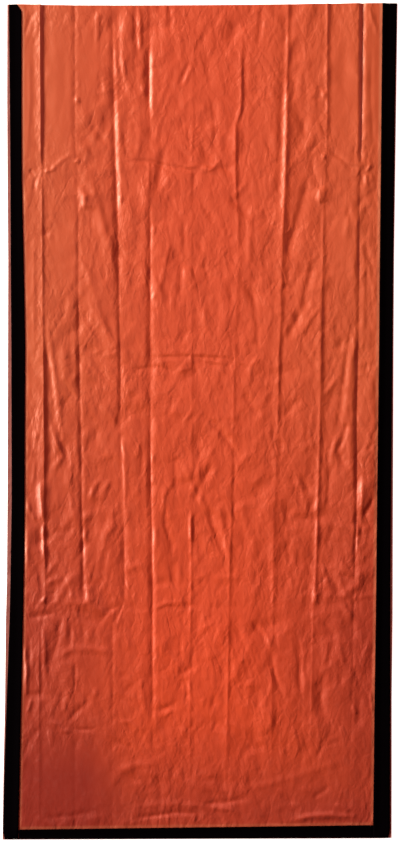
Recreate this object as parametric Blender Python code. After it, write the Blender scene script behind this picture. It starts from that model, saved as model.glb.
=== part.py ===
"""Emergency sleeping bag of thin plastic film, laid flat with its open mouth at +Y.

Two panels of film lie one on the other. Black tape closes them along both
sides and across the foot, and the mouth stays open. The front panel keeps the
fold lines that it was packed with, and stands a little off the back panel.
Metres, +Z up. The origin is at the middle of the bag's footprint, on the ground.
"""

import math
from typing import NamedTuple

import bmesh
import bpy
import numpy as np

# --- Driving dimensions ---------------------------------------------------
FOOT_EDGE_LEFT = -0.9908     # Y of the film's cut foot edge at its left corner
FOOT_EDGE_RIGHT = -0.9875    # and at its right corner: the cut is a little askew
SHEET = 0.0010               # thickness of each film panel and of the tape
GAP = 0.0003                 # between two pieces that touch
LOFT = 0.0112                # how far the front panel stands off the ground inside the bag
RIM_WIDTH = 0.009            # of the steep rise beside a side tape
RIM_SHARE = 0.55             # share of the loft that the steep rise reaches
FOOT_RISE = 0.055            # length of the slope from the foot tape up to the full loft
SEAM_CLEARANCE = 0.0016      # the front panel starts to rise this far inside a tape
CORNER_RADIUS = 0.006        # of the two foot corners
FOOT_TAPE_FILM = 0.0015      # film left showing outside the foot tape
FOOT_TAPE_LEFT = 0.0235      # width of the foot tape at its left end
FOOT_TAPE_RIGHT = 0.0310     # and at its right end
FOLD_SPREAD = 0.010          # half width of a packing fold, crest to flat film
CROSS_SPREAD = 0.016         # half width of a cross fold

FRONT_UNDERSIDE = SHEET + GAP
TAPE_UNDERSIDE = FRONT_UNDERSIDE + SHEET + GAP
MOUTH_MIDDLE = 0.9849


class Section(NamedTuple):
    """Where the edges of film and tape lie across the bag, at one Y."""

    y: float
    film_left: float
    tape_left: float      # outer edge of the left tape
    seam_left: float      # inner edge of the left tape
    seam_right: float
    tape_right: float
    film_right: float


SECTIONS = (
    #       y       film    tape    seam     seam    tape    film
    Section(-0.991, -0.468, -0.467, -0.430, 0.409, 0.4500, 0.4537),
    Section(-0.850, -0.466, -0.464, -0.427, 0.411, 0.4500, 0.4540),
    Section(-0.660, -0.462, -0.458, -0.423, 0.413, 0.4505, 0.4540),
    Section(-0.470, -0.460, -0.451, -0.419, 0.416, 0.4505, 0.4563),
    Section(-0.375, -0.4575, -0.449, -0.417, 0.417, 0.4510, 0.4566),
    Section(-0.185, -0.456, -0.446, -0.415, 0.419, 0.4525, 0.4571),
    Section(0.193, -0.455, -0.447, -0.4135, 0.424, 0.456, 0.4585),
    Section(0.383, -0.4545, -0.4485, -0.417, 0.4255, 0.4575, 0.4597),
    Section(0.572, -0.456, -0.449, -0.4215, 0.4275, 0.460, 0.4623),
    Section(0.762, -0.457, -0.4505, -0.4225, 0.4295, 0.462, 0.4649),
    Section(0.991, -0.4565, -0.453, -0.422, 0.432, 0.4665, 0.4680),
)


class MouthPoint(NamedTuple):
    """A point of the mouth's cut edge."""

    x: float
    y: float


MOUTH = (
    MouthPoint(-0.457, 0.9880),
    MouthPoint(-0.330, 0.9847),
    MouthPoint(-0.180, 0.9842),
    MouthPoint(0.120, 0.9857),
    MouthPoint(0.330, 0.9890),
    MouthPoint(0.468, 0.9908),
)


class Fold(NamedTuple):
    """A packing fold along the bag: where it runs, and its height at three places."""

    foot: float           # X at the foot, and so on up to the mouth
    shin: float
    waist: float
    chest: float
    mouth: float
    low: float            # height at the foot: a ridge is above 0, a valley below
    middle: float
    high: float


FOLD_Y = (-0.991, -0.430, 0.150, 0.560, 0.991)

FOLDS = (
    #    foot    shin    waist   chest   mouth   low      middle   high
    Fold(-0.385, -0.374, -0.372, -0.378, -0.382, 0.0018, 0.0026, 0.0024),
    Fold(-0.296, -0.286, -0.287, -0.293, -0.297, -0.0016, -0.0022, -0.0018),
    Fold(-0.209, -0.188, -0.192, -0.197, -0.207, -0.0016, -0.0024, -0.0022),
    Fold(-0.116, -0.117, -0.120, -0.122, -0.121, -0.0020, -0.0026, -0.0020),
    Fold(-0.021, -0.023, -0.020, -0.021, -0.020, 0.0014, 0.0020, 0.0016),
    Fold(0.064, 0.071, 0.086, 0.090, 0.100, 0.0014, 0.0020, 0.0016),
    Fold(0.168, 0.173, 0.191, 0.197, 0.207, 0.0016, 0.0024, 0.0026),
    Fold(0.260, 0.268, 0.289, 0.294, 0.301, 0.0014, 0.0022, 0.0018),
    Fold(0.352, 0.365, 0.371, 0.378, 0.384, -0.0014, -0.0026, -0.0024),
)


class CrossFold(NamedTuple):
    """A fold across the bag: its Y at the left and the right, and its height."""

    left: float
    right: float
    crest: float


CROSS_FOLDS = (
    CrossFold(-0.925, -0.915, 0.0016),
    CrossFold(-0.725, -0.735, -0.0014),
    CrossFold(-0.540, -0.560, 0.0012),
    CrossFold(-0.450, -0.465, -0.0018),
    CrossFold(0.150, 0.145, -0.0016),
    CrossFold(0.600, 0.620, 0.0018),
)


class Billow(NamedTuple):
    """A wide, soft swelling of the front panel."""

    x: float
    y: float
    half_width: float
    half_length: float
    height: float


BILLOWS = (
    Billow(-0.25, 0.74, 0.16, 0.30, 0.0014),
    Billow(0.16, 0.80, 0.20, 0.26, 0.0010),
    Billow(0.31, 0.36, 0.12, 0.28, 0.0012),
    Billow(-0.05, 0.30, 0.18, 0.22, -0.0008),
    Billow(-0.33, -0.02, 0.12, 0.26, 0.0013),
    Billow(0.08, -0.16, 0.16, 0.26, 0.0012),
    Billow(0.33, -0.26, 0.12, 0.20, 0.0010),
    Billow(-0.16, -0.60, 0.18, 0.16, 0.0011),
    Billow(0.22, -0.72, 0.18, 0.16, 0.0009),
)


# --- Where things are -----------------------------------------------------
def across(y, column):
    """X of one of the edges that the sections list, at the given Y."""
    return float(np.interp(y, [s.y for s in SECTIONS], [getattr(s, column) for s in SECTIONS]))


def mouth_y(x):
    """Y of the mouth's cut edge at the given X."""
    return float(np.interp(x, [p.x for p in MOUTH], [p.y for p in MOUTH]))


def foot_y(x):
    """Y of the foot's cut edge at the given X."""
    ends = (SECTIONS[0].film_left, SECTIONS[0].film_right)
    return float(np.interp(x, ends, (FOOT_EDGE_LEFT, FOOT_EDGE_RIGHT)))


def foot_tape_outer_y(x):
    """Y of the foot tape's outer edge at the given X."""
    return foot_y(x) + FOOT_TAPE_FILM


def foot_seam_y(x):
    """Y of the foot tape's inner edge at the given X."""
    ends = (SECTIONS[0].seam_left, SECTIONS[0].seam_right)
    width = float(np.interp(x, ends, (FOOT_TAPE_LEFT, FOOT_TAPE_RIGHT)))
    return foot_tape_outer_y(x) + width


def fold_x(fold, y):
    """X of a packing fold at the given Y."""
    return float(np.interp(y, FOLD_Y, (fold.foot, fold.shin, fold.waist, fold.chest, fold.mouth)))


def fold_crest(fold, y):
    """Height of a packing fold at the given Y."""
    return float(np.interp(y, (FOLD_Y[0], 0.0, FOLD_Y[-1]), (fold.low, fold.middle, fold.high)))


# --- The front panel's height ---------------------------------------------
def ease(share):
    """A smooth step from 0 to 1."""
    share = min(max(share, 0.0), 1.0)
    return share * share * (3.0 - 2.0 * share)


def tent(distance, spread):
    """A straight-sided crest, 1 on its line and 0 beyond its spread."""
    return max(0.0, 1.0 - abs(distance) / spread)


def side_rise(x, y):
    """Share of the loft reached between the seams and the outermost folds."""
    left_away = x - across(y, "seam_left") - SEAM_CLEARANCE
    left_width = fold_x(FOLDS[0], y) - across(y, "seam_left") - SEAM_CLEARANCE
    right_away = across(y, "seam_right") - SEAM_CLEARANCE - x
    right_width = across(y, "seam_right") - SEAM_CLEARANCE - fold_x(FOLDS[-1], y)
    left_share = np.interp(left_away, (0.0, RIM_WIDTH, left_width), (0.0, RIM_SHARE, 1.0))
    right_share = np.interp(right_away, (0.0, RIM_WIDTH, right_width), (0.0, RIM_SHARE, 1.0))
    return float(min(left_share, right_share))


def foot_rise(x, y):
    """Share of the loft reached on the slope up from the foot tape."""
    return ease((y - foot_seam_y(x) - SEAM_CLEARANCE) / FOOT_RISE)


def front_height(x, y):
    """Height of the front panel's underside."""
    height = LOFT - FRONT_UNDERSIDE
    for fold in FOLDS:
        height += fold_crest(fold, y) * tent(x - fold_x(fold, y), FOLD_SPREAD)
    for cross in CROSS_FOLDS:
        line = float(np.interp(x, (FOLDS[0].waist, FOLDS[-1].waist), (cross.left, cross.right)))
        height += cross.crest * tent(y - line, CROSS_SPREAD)
    for billow in BILLOWS:
        reach = math.hypot((x - billow.x) / billow.half_width, (y - billow.y) / billow.half_length)
        height += billow.height * ease(1.0 - reach)
    return FRONT_UNDERSIDE + height * side_rise(x, y) * foot_rise(x, y)


# --- Building sheets ------------------------------------------------------
def finish(name, colour, roughness, metallic):
    """A plain material of one colour."""
    material = bpy.data.materials.new(name)
    material.use_nodes = True
    shader = material.node_tree.nodes["Principled BSDF"]
    shader.inputs["Base Color"].default_value = (*colour, 1.0)
    shader.inputs["Roughness"].default_value = roughness
    shader.inputs["Metallic"].default_value = metallic
    return material


def round_corners(mesh, corners):
    """Round the upright edges that stand at the given corners."""
    upright = [
        edge
        for edge in mesh.edges
        if all(any(math.dist(v.co.xy, corner) < GAP for corner in corners) for v in edge.verts)
    ]
    bmesh.ops.bevel(
        mesh,
        geom=upright,
        offset=CORNER_RADIUS,
        offset_type="OFFSET",
        segments=3,
        profile=0.5,
        affect="EDGES",
        material=-1,
    )


def sheet(name, columns, rows, place, material, corners=()):
    """A closed sheet: a grid put in place point by point, then given its thickness."""
    mesh = bmesh.new()
    bmesh.ops.create_grid(mesh, x_segments=columns - 1, y_segments=rows - 1, size=1.0)
    for vert in mesh.verts:
        column = round((vert.co.x + 1.0) / 2.0 * (columns - 1))
        row = round((vert.co.y + 1.0) / 2.0 * (rows - 1))
        vert.co = place(column, row)
    raised = bmesh.ops.extrude_face_region(mesh, geom=mesh.faces[:])["geom"]
    upper = [item for item in raised if isinstance(item, bmesh.types.BMVert)]
    bmesh.ops.translate(mesh, verts=upper, vec=(0.0, 0.0, SHEET))
    round_corners(mesh, corners)
    bmesh.ops.recalc_face_normals(mesh, faces=mesh.faces[:])
    data = bpy.data.meshes.new(name)
    mesh.to_mesh(data)
    mesh.free()
    data.materials.append(material)
    piece = bpy.data.objects.new(name, data)
    bpy.context.scene.collection.objects.link(piece)
    return piece


def between(start, end, share):
    """A point on the way from start to end."""
    return start + (end - start) * share


# --- The pieces -----------------------------------------------------------
SECTION_SHARES = tuple((s.y - SECTIONS[0].y) / (SECTIONS[-1].y - SECTIONS[0].y) for s in SECTIONS)


def section_y(x, row):
    """Y of one of the sections at the given X, stretched to the cut foot and mouth."""
    return between(foot_y(x), mouth_y(x), SECTION_SHARES[row])


def foot_corners():
    """The film's two corners at the foot."""
    left = SECTIONS[0].film_left
    right = SECTIONS[0].film_right
    return ((left, foot_y(left)), (right, foot_y(right)))


def back_film(material):
    """The flat panel that lies on the ground."""
    columns = 7

    def place(column, row):
        y = section_y(0.0, row)
        x = between(across(y, "film_left"), across(y, "film_right"), column / (columns - 1))
        return x, section_y(x, row), 0.0

    return sheet("back_film", columns, len(SECTIONS), place, material, foot_corners())


def front_columns(y):
    """X of every column of the front panel at the given Y, left to right."""
    left_start = across(y, "seam_left") + SEAM_CLEARANCE
    right_start = across(y, "seam_right") - SEAM_CLEARANCE
    lines = [across(y, "film_left"), left_start, left_start + RIM_WIDTH]
    previous = left_start + RIM_WIDTH
    for fold in FOLDS:
        crest = fold_x(fold, y)
        near_side = crest - FOLD_SPREAD
        lines += [between(previous, near_side, 0.5), near_side, crest, crest + FOLD_SPREAD]
        previous = crest + FOLD_SPREAD
    right_rim = right_start - RIM_WIDTH
    lines += [between(previous, right_rim, 0.5), right_rim, right_start, across(y, "film_right")]
    return lines


def front_rows():
    """Share of the way from the foot seam to the mouth of every row of the front panel."""
    wanted = []
    for cross in CROSS_FOLDS:
        middle = (cross.left + cross.right) / 2.0
        wanted += [middle - CROSS_SPREAD, middle, middle + CROSS_SPREAD]
    for step in range(1, 5):
        wanted.append(foot_seam_y(0.0) + FOOT_RISE * step / 4.0)
    gap_limit = 0.085
    rows = [foot_seam_y(0.0) + SEAM_CLEARANCE]
    for target in [*sorted(wanted), MOUTH_MIDDLE]:
        steps = max(1, math.ceil((target - rows[-1]) / gap_limit))
        start = rows[-1]
        rows += [between(start, target, step / steps) for step in range(1, steps + 1)]
    span = rows[-1] - rows[0]
    return [(y - rows[0]) / span for y in rows]


def front_film(material):
    """The folded and crumpled panel that shows."""
    shares = front_rows()
    columns = len(front_columns(0.0))

    def place(column, row):
        if row == 0:
            x = front_columns(SECTIONS[0].y)[column]
            return x, foot_y(x), FRONT_UNDERSIDE
        share = shares[row - 1]
        y = between(foot_seam_y(0.0) + SEAM_CLEARANCE, MOUTH_MIDDLE, share)
        x = front_columns(y)[column]
        y = between(foot_seam_y(x) + SEAM_CLEARANCE, mouth_y(x), share)
        return x, y, front_height(x, y)

    return sheet("front_film", columns, len(shares) + 1, place, material, foot_corners())


def side_tape(name, outer, inner, material):
    """The tape along one side seam, from the foot to the mouth."""
    corner_x = across(SECTIONS[0].y, outer)

    def place(column, row):
        y = section_y(0.0, row)
        edges = sorted((across(y, outer), across(y, inner)))
        x = edges[column]
        start = foot_tape_outer_y(x)
        return x, between(start, mouth_y(x), SECTION_SHARES[row]), TAPE_UNDERSIDE

    corner = (corner_x, foot_tape_outer_y(corner_x))
    return sheet(name, 2, len(SECTIONS), place, material, (corner,))


def foot_tape(material):
    """The tape across the foot, between the side tapes."""
    columns = 9

    def place(column, row):
        y = foot_tape_outer_y(0.0) + row * FOOT_TAPE_LEFT
        left = across(y, "seam_left") + GAP
        right = across(y, "seam_right") - GAP
        x = between(left, right, column / (columns - 1))
        return x, (foot_tape_outer_y, foot_seam_y)[row](x), TAPE_UNDERSIDE

    return sheet("foot_tape", columns, 2, place, material)


def clear_scene():
    """Remove whatever objects the scene holds."""
    for item in list(bpy.data.objects):
        bpy.data.objects.remove(item, do_unlink=True)


def main():
    """Build the bag from the ground up."""
    clear_scene()
    film = finish("orange_film", (0.78, 0.10, 0.035), 0.35, 0.15)
    tape = finish("black_tape", (0.01, 0.01, 0.01), 0.6, 0.0)
    back_film(film)
    front_film(film)
    side_tape("left_tape", "tape_left", "seam_left", tape)
    side_tape("right_tape", "tape_right", "seam_right", tape)
    foot_tape(tape)


main()
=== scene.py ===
"""Looks of the emergency sleeping bag: creased orange film, black seam tape, floor, light and camera.

The bag lies on its back panel with its mouth at +Y.  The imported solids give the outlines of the
film and of the tape.  The creases are charted here in millimetres from the middle of the bag.
"""

import logging
import math
from dataclasses import dataclass, field, replace
from enum import Enum

import bmesh
import bpy
import numpy as np
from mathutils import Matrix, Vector


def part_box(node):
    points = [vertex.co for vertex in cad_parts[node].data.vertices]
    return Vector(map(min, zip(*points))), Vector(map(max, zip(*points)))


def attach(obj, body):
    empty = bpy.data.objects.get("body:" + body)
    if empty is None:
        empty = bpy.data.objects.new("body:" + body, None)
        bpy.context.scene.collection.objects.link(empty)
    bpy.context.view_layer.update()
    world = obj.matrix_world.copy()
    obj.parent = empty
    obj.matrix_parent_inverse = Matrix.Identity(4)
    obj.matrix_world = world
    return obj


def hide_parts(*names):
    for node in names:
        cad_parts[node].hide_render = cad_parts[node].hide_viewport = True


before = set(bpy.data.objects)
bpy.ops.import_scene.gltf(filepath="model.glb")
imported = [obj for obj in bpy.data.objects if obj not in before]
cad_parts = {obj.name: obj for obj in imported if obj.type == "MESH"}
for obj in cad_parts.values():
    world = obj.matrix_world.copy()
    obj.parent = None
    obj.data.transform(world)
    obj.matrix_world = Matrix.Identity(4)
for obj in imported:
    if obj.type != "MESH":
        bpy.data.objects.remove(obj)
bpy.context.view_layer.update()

log = logging.getLogger("sleeping_bag")

MM = 0.001
BODY = "root"
LEVEL_EDGE = 1e-7    # metres, an edge that crosses a cut by less than this runs along it


class Slot(Enum):
    """The record's material slots."""

    FILM = "orange_film"
    TAPE = "black_tape"


class Side(Enum):
    """The two long sides of the bag."""

    LEFT = "left"
    RIGHT = "right"


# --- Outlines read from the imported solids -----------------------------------
class Outline:
    """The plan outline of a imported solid, read along lines across it and along it."""

    def __init__(self, node: str) -> None:
        """Collect the plan edges of a solid.

        Args:
            node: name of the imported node.
        """
        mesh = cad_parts[node].data
        points = np.array([v.co[:] for v in mesh.vertices])[:, :2]
        pairs = np.array([e.vertices[:] for e in mesh.edges])
        self.start = points[pairs[:, 0]]
        self.end = points[pairs[:, 1]]

    def _span(self, axis: int, value: float) -> tuple[float, float]:
        """Lowest and highest reach of the outline where one coordinate has a value.

        Args:
            axis: 0 to cut at an X, 1 to cut at a Y.
            value: the X or Y of the cut.

        Returns:
            The lowest and the highest of the other coordinate.
        """
        a, b = self.start, self.end
        crossing = (a[:, axis] - value) * (b[:, axis] - value) <= 0.0
        crossing &= np.abs(a[:, axis] - b[:, axis]) > LEVEL_EDGE
        a, b = a[crossing], b[crossing]
        share = (value - a[:, axis]) / (b[:, axis] - a[:, axis])
        other = a[:, 1 - axis] + share * (b[:, 1 - axis] - a[:, 1 - axis])
        return float(other.min()), float(other.max())

    def across(self, y: float) -> tuple[float, float]:
        """X of the left and the right edge at a Y."""
        return self._span(1, y)

    def along(self, x: float) -> tuple[float, float]:
        """Y of the foot and the mouth edge at an X."""
        return self._span(0, x)


@dataclass
class Plan:
    """Where the film's edges and the seams lie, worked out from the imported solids."""

    film: Outline = field(default_factory=lambda: Outline("back_film"))
    left_tape: Outline = field(default_factory=lambda: Outline("left_tape"))
    right_tape: Outline = field(default_factory=lambda: Outline("right_tape"))
    foot_tape: Outline = field(default_factory=lambda: Outline("foot_tape"))
    tape_inset: tuple[float, float] = (0.0005, 0.0005)    # metres, just inside a tape's two ends
    end_inset: tuple[float, float] = (0.012, 0.008)       # clear of the foot's and the mouth's slant
    side_inset: tuple[float, float] = (0.013, 0.017)      # clear of the left and the right side's slant
    side_stations: int = 120
    end_stations: int = 80
    foot_stations: int = 60

    def __post_init__(self) -> None:
        """Sample every edge once, so that it can be read quickly."""
        self.left_rows = self.stations("left_tape", 1, self.tape_inset, self.side_stations)
        self.left_tape_edges = np.array([self.left_tape.across(y) for y in self.left_rows])
        self.right_rows = self.stations("right_tape", 1, self.tape_inset, self.side_stations)
        self.right_tape_edges = np.array([self.right_tape.across(y) for y in self.right_rows])
        self.film_rows = self.stations("back_film", 1, self.end_inset, self.side_stations)
        self.film_edges = np.array([self.film.across(y) for y in self.film_rows])
        self.columns = self.stations("back_film", 0, self.side_inset, self.end_stations)
        self.film_ends = np.array([self.film.along(x) for x in self.columns])
        self.foot_columns = self.stations("foot_tape", 0, self.tape_inset, self.foot_stations)
        self.foot_edges = np.array([self.foot_tape.along(x) for x in self.foot_columns])

    def stations(self, node: str, axis: int, inset: tuple[float, float], count: int) -> np.ndarray:
        """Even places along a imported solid's box."""
        low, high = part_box(node)
        return np.linspace(low[axis] + inset[0], high[axis] - inset[1], count)

    def film_x(self, y: np.ndarray, side: Side) -> np.ndarray:
        """X of the film's cut edge on one side."""
        return np.interp(y, self.film_rows, self.film_edges[:, 0 if side is Side.LEFT else 1])

    def seam_x(self, y: np.ndarray, side: Side) -> np.ndarray:
        """X of a side tape's inner edge.

        Args:
            y: Y of each place, in metres.
            side: the side of the bag.

        Returns:
            The X of the edge at each place.
        """
        if side is Side.LEFT:
            return np.interp(y, self.left_rows, self.left_tape_edges[:, 1])
        return np.interp(y, self.right_rows, self.right_tape_edges[:, 0])

    def tape_x(self, y: np.ndarray, side: Side) -> np.ndarray:
        """X of a side tape's outer edge.

        Args:
            y: Y of each place, in metres.
            side: the side of the bag.

        Returns:
            The X of the edge at each place.
        """
        if side is Side.LEFT:
            return np.interp(y, self.left_rows, self.left_tape_edges[:, 0])
        return np.interp(y, self.right_rows, self.right_tape_edges[:, 1])

    def mouth_y(self, x: np.ndarray) -> np.ndarray:
        """Y of the mouth's cut edge."""
        return np.interp(x, self.columns, self.film_ends[:, 1])

    def foot_y(self, x: np.ndarray) -> np.ndarray:
        """Y of the foot's cut edge."""
        return np.interp(x, self.columns, self.film_ends[:, 0])

    def foot_seam_y(self, x: np.ndarray) -> np.ndarray:
        """Y of the foot tape's inner edge."""
        return np.interp(x, self.foot_columns, self.foot_edges[:, 1])

    def foot_tape_y(self, x: np.ndarray) -> np.ndarray:
        """Y of the foot tape's outer edge."""
        return np.interp(x, self.foot_columns, self.foot_edges[:, 0])


# --- The sheet that creases are pressed into ---------------------------------
@dataclass
class Relief:
    """A grid of points of a sheet in plan, with their heights.

    x, y and z are arrays of rows by columns, in millimetres from the middle of the bag.
    """

    x: np.ndarray
    y: np.ndarray
    z: np.ndarray
    row_sway: float = 8.0        # mm that a row may stray from its level at the middle of the bag
    spare_columns: int = 3       # columns added on both sides of a window, because they lean

    def window(self, low: tuple[float, float], high: tuple[float, float]) -> tuple[slice, slice]:
        """The rows and columns that cover a box.

        Args:
            low: lowest x and y of the box.
            high: highest x and y of the box.

        Returns:
            A slice of rows and a slice of columns.
        """
        middle = self.y[:, self.y.shape[1] // 2]
        first = max(int(np.searchsorted(middle, low[1] - self.row_sway)), 0)
        last = min(int(np.searchsorted(middle, high[1] + self.row_sway)) + 1, self.y.shape[0])
        last = max(last, first + 1)
        bottom = self.x[first]
        top = self.x[last - 1]
        left = min(int(np.searchsorted(bottom, low[0])), int(np.searchsorted(top, low[0])))
        right = max(int(np.searchsorted(bottom, high[0])), int(np.searchsorted(top, high[0])))
        return slice(first, last), slice(max(left - self.spare_columns, 0), right + self.spare_columns)


def ease(share: np.ndarray) -> np.ndarray:
    """A smooth step from 0 to 1."""
    share = np.clip(share, 0.0, 1.0)
    return share * share * (3.0 - 2.0 * share)


def crest(distance: np.ndarray, width: np.ndarray | float, bow: float = 1.3) -> np.ndarray:
    """Share of a crease's height at a distance from its line, where a bow above 1 eases its foot out."""
    return np.clip(1.0 - np.abs(distance) / width, 0.0, 1.0) ** bow


@dataclass(frozen=True)
class Knot:
    """One place on a packing fold, in millimetres: its height and how wide its two flanks are."""

    y: float
    x: float
    lift: float
    left: float
    right: float


@dataclass(frozen=True)
class Fold:
    """A packing fold that runs along the bag: a ridge where its lift is above 0, else a trough.

    The flank that faces left is steep near the fold's line and then runs out slowly.  The film on
    both sides sinks a little beside a ridge and rises beside a trough.
    """

    knots: tuple[Knot, ...]
    leads: bool = True    # whether a column of the sheet's points follows it

    def x_at(self, y: np.ndarray) -> np.ndarray:
        """X of the fold's line."""
        return np.interp(y, [k.y for k in self.knots], [k.x for k in self.knots])

    def press(self, relief: Relief) -> None:
        """Press the fold into a sheet.

        Args:
            relief: the sheet, whose heights change.
        """
        heights = [k.y for k in self.knots]
        distance = relief.x - self.x_at(relief.y)
        lift = np.interp(relief.y, heights, [k.lift for k in self.knots])
        left = np.interp(relief.y, heights, [k.left for k in self.knots])
        right = np.interp(relief.y, heights, [k.right for k in self.knots])
        facing_left = (distance < 0.0) == (lift > 0.0)
        width = np.where(distance < 0.0, left, right)
        steep = crest(distance, np.where(facing_left, width, RIGHTWARD_FLANK * width))
        lip = np.interp(relief.y, LIP_PLACES, LIP_SHARES)
        slack = lip * steep + (1.0 - lip) * crest(distance, SLACK_WIDTH)
        swell = SWELL_SHARE * ease(1.0 - np.abs(distance) / SWELL_WIDTH)
        relief.z += FOLD_SCALE * lift * (np.where(facing_left, slack, steep) - swell)


@dataclass(frozen=True)
class Crease:
    """A local crease: its line, its height, and how wide its two flanks are, in millimetres.

    Left and right are as seen along the line, from its first point to its last.
    """

    line: tuple[tuple[float, float], ...]
    lift: float
    left: float
    right: float
    fade: float = 0.3
    bow: float = 1.3

    def mirrored(self) -> "Crease":
        """The same crease on the other half of the bag, pressed the other way."""
        line = tuple((-x + MIRROR_LEAN * y, y + MIRROR_RISE) for x, y in self.line)
        return replace(self, line=line, lift=-self.lift, left=self.right, right=self.left)

    def scaled(self, share: float) -> "Crease":
        """The same crease with its height multiplied."""
        return replace(self, lift=self.lift * share)

    def press(self, relief: Relief) -> None:
        """Press the crease into a sheet.

        Args:
            relief: the sheet, whose heights change.
        """
        reach = max(self.left, self.right)
        points = np.array(self.line)
        rows, columns = relief.window(tuple(points.min(0) - reach), tuple(points.max(0) + reach))
        x = relief.x[rows, columns]
        y = relief.y[rows, columns]
        nearest = np.full(x.shape, np.inf)
        side = np.zeros(x.shape)
        travel = np.zeros(x.shape)
        before = 0.0
        for (ax, ay), (bx, by) in zip(self.line[:-1], self.line[1:]):
            length = math.hypot(bx - ax, by - ay)
            ux, uy = (bx - ax) / length, (by - ay) / length
            along = np.clip((x - ax) * ux + (y - ay) * uy, 0.0, length)
            gap = np.hypot(x - ax - along * ux, y - ay - along * uy)
            closer = gap < nearest
            nearest = np.where(closer, gap, nearest)
            side = np.where(closer, ux * (y - ay) - uy * (x - ax), side)
            travel = np.where(closer, before + along, travel)
            before += length
        ends = ease(np.minimum(travel, before - travel) / (self.fade * before) + BLUNT_END)
        width = np.where(side > 0.0, self.left, self.right)
        relief.z[rows, columns] += self.lift * ends * crest(nearest, width, self.bow)


@dataclass(frozen=True)
class Dimple:
    """A small round dent or bump in the film, in millimetres."""

    x: float
    y: float
    radius: float
    lift: float

    def press(self, relief: Relief) -> None:
        """Press the dimple into a sheet.

        Args:
            relief: the sheet, whose heights change.
        """
        low = (self.x - self.radius, self.y - self.radius)
        high = (self.x + self.radius, self.y + self.radius)
        rows, columns = relief.window(low, high)
        gap = np.hypot(relief.x[rows, columns] - self.x, relief.y[rows, columns] - self.y)
        relief.z[rows, columns] += self.lift * ease(1.0 - gap / self.radius)


# how the charted folds become heights
FOLD_SCALE = 0.86               # pressed height for each millimetre of charted lift
RIGHTWARD_FLANK = 0.88          # width of a flank that faces right, for each millimetre charted
LIP_PLACES = (-330.0, 170.0)    # mm, Y between which the flank that faces left changes its shape
LIP_SHARES = (0.88, 0.5)        # share of that flank's height in its steep part, at those places
SLACK_WIDTH = 60.0              # mm, how wide the rest of it runs out
SWELL_SHARE = 0.45              # share of the lift by which the film on both sides goes against it
SWELL_WIDTH = 55.0              # mm, how far from the line it does so

# how the charted creases become heights
CREASE_SCALE = 1.55             # pressed height for each millimetre of charted lift
BLUNT_END = 0.12                # how far a crease's height has eased in at its very ends
MIRROR_RISE = 10.0              # mm that the right half's creases lie nearer the mouth
MIRROR_LEAN = 0.0027            # mm that they shift to the right, for each millimetre of Y

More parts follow.
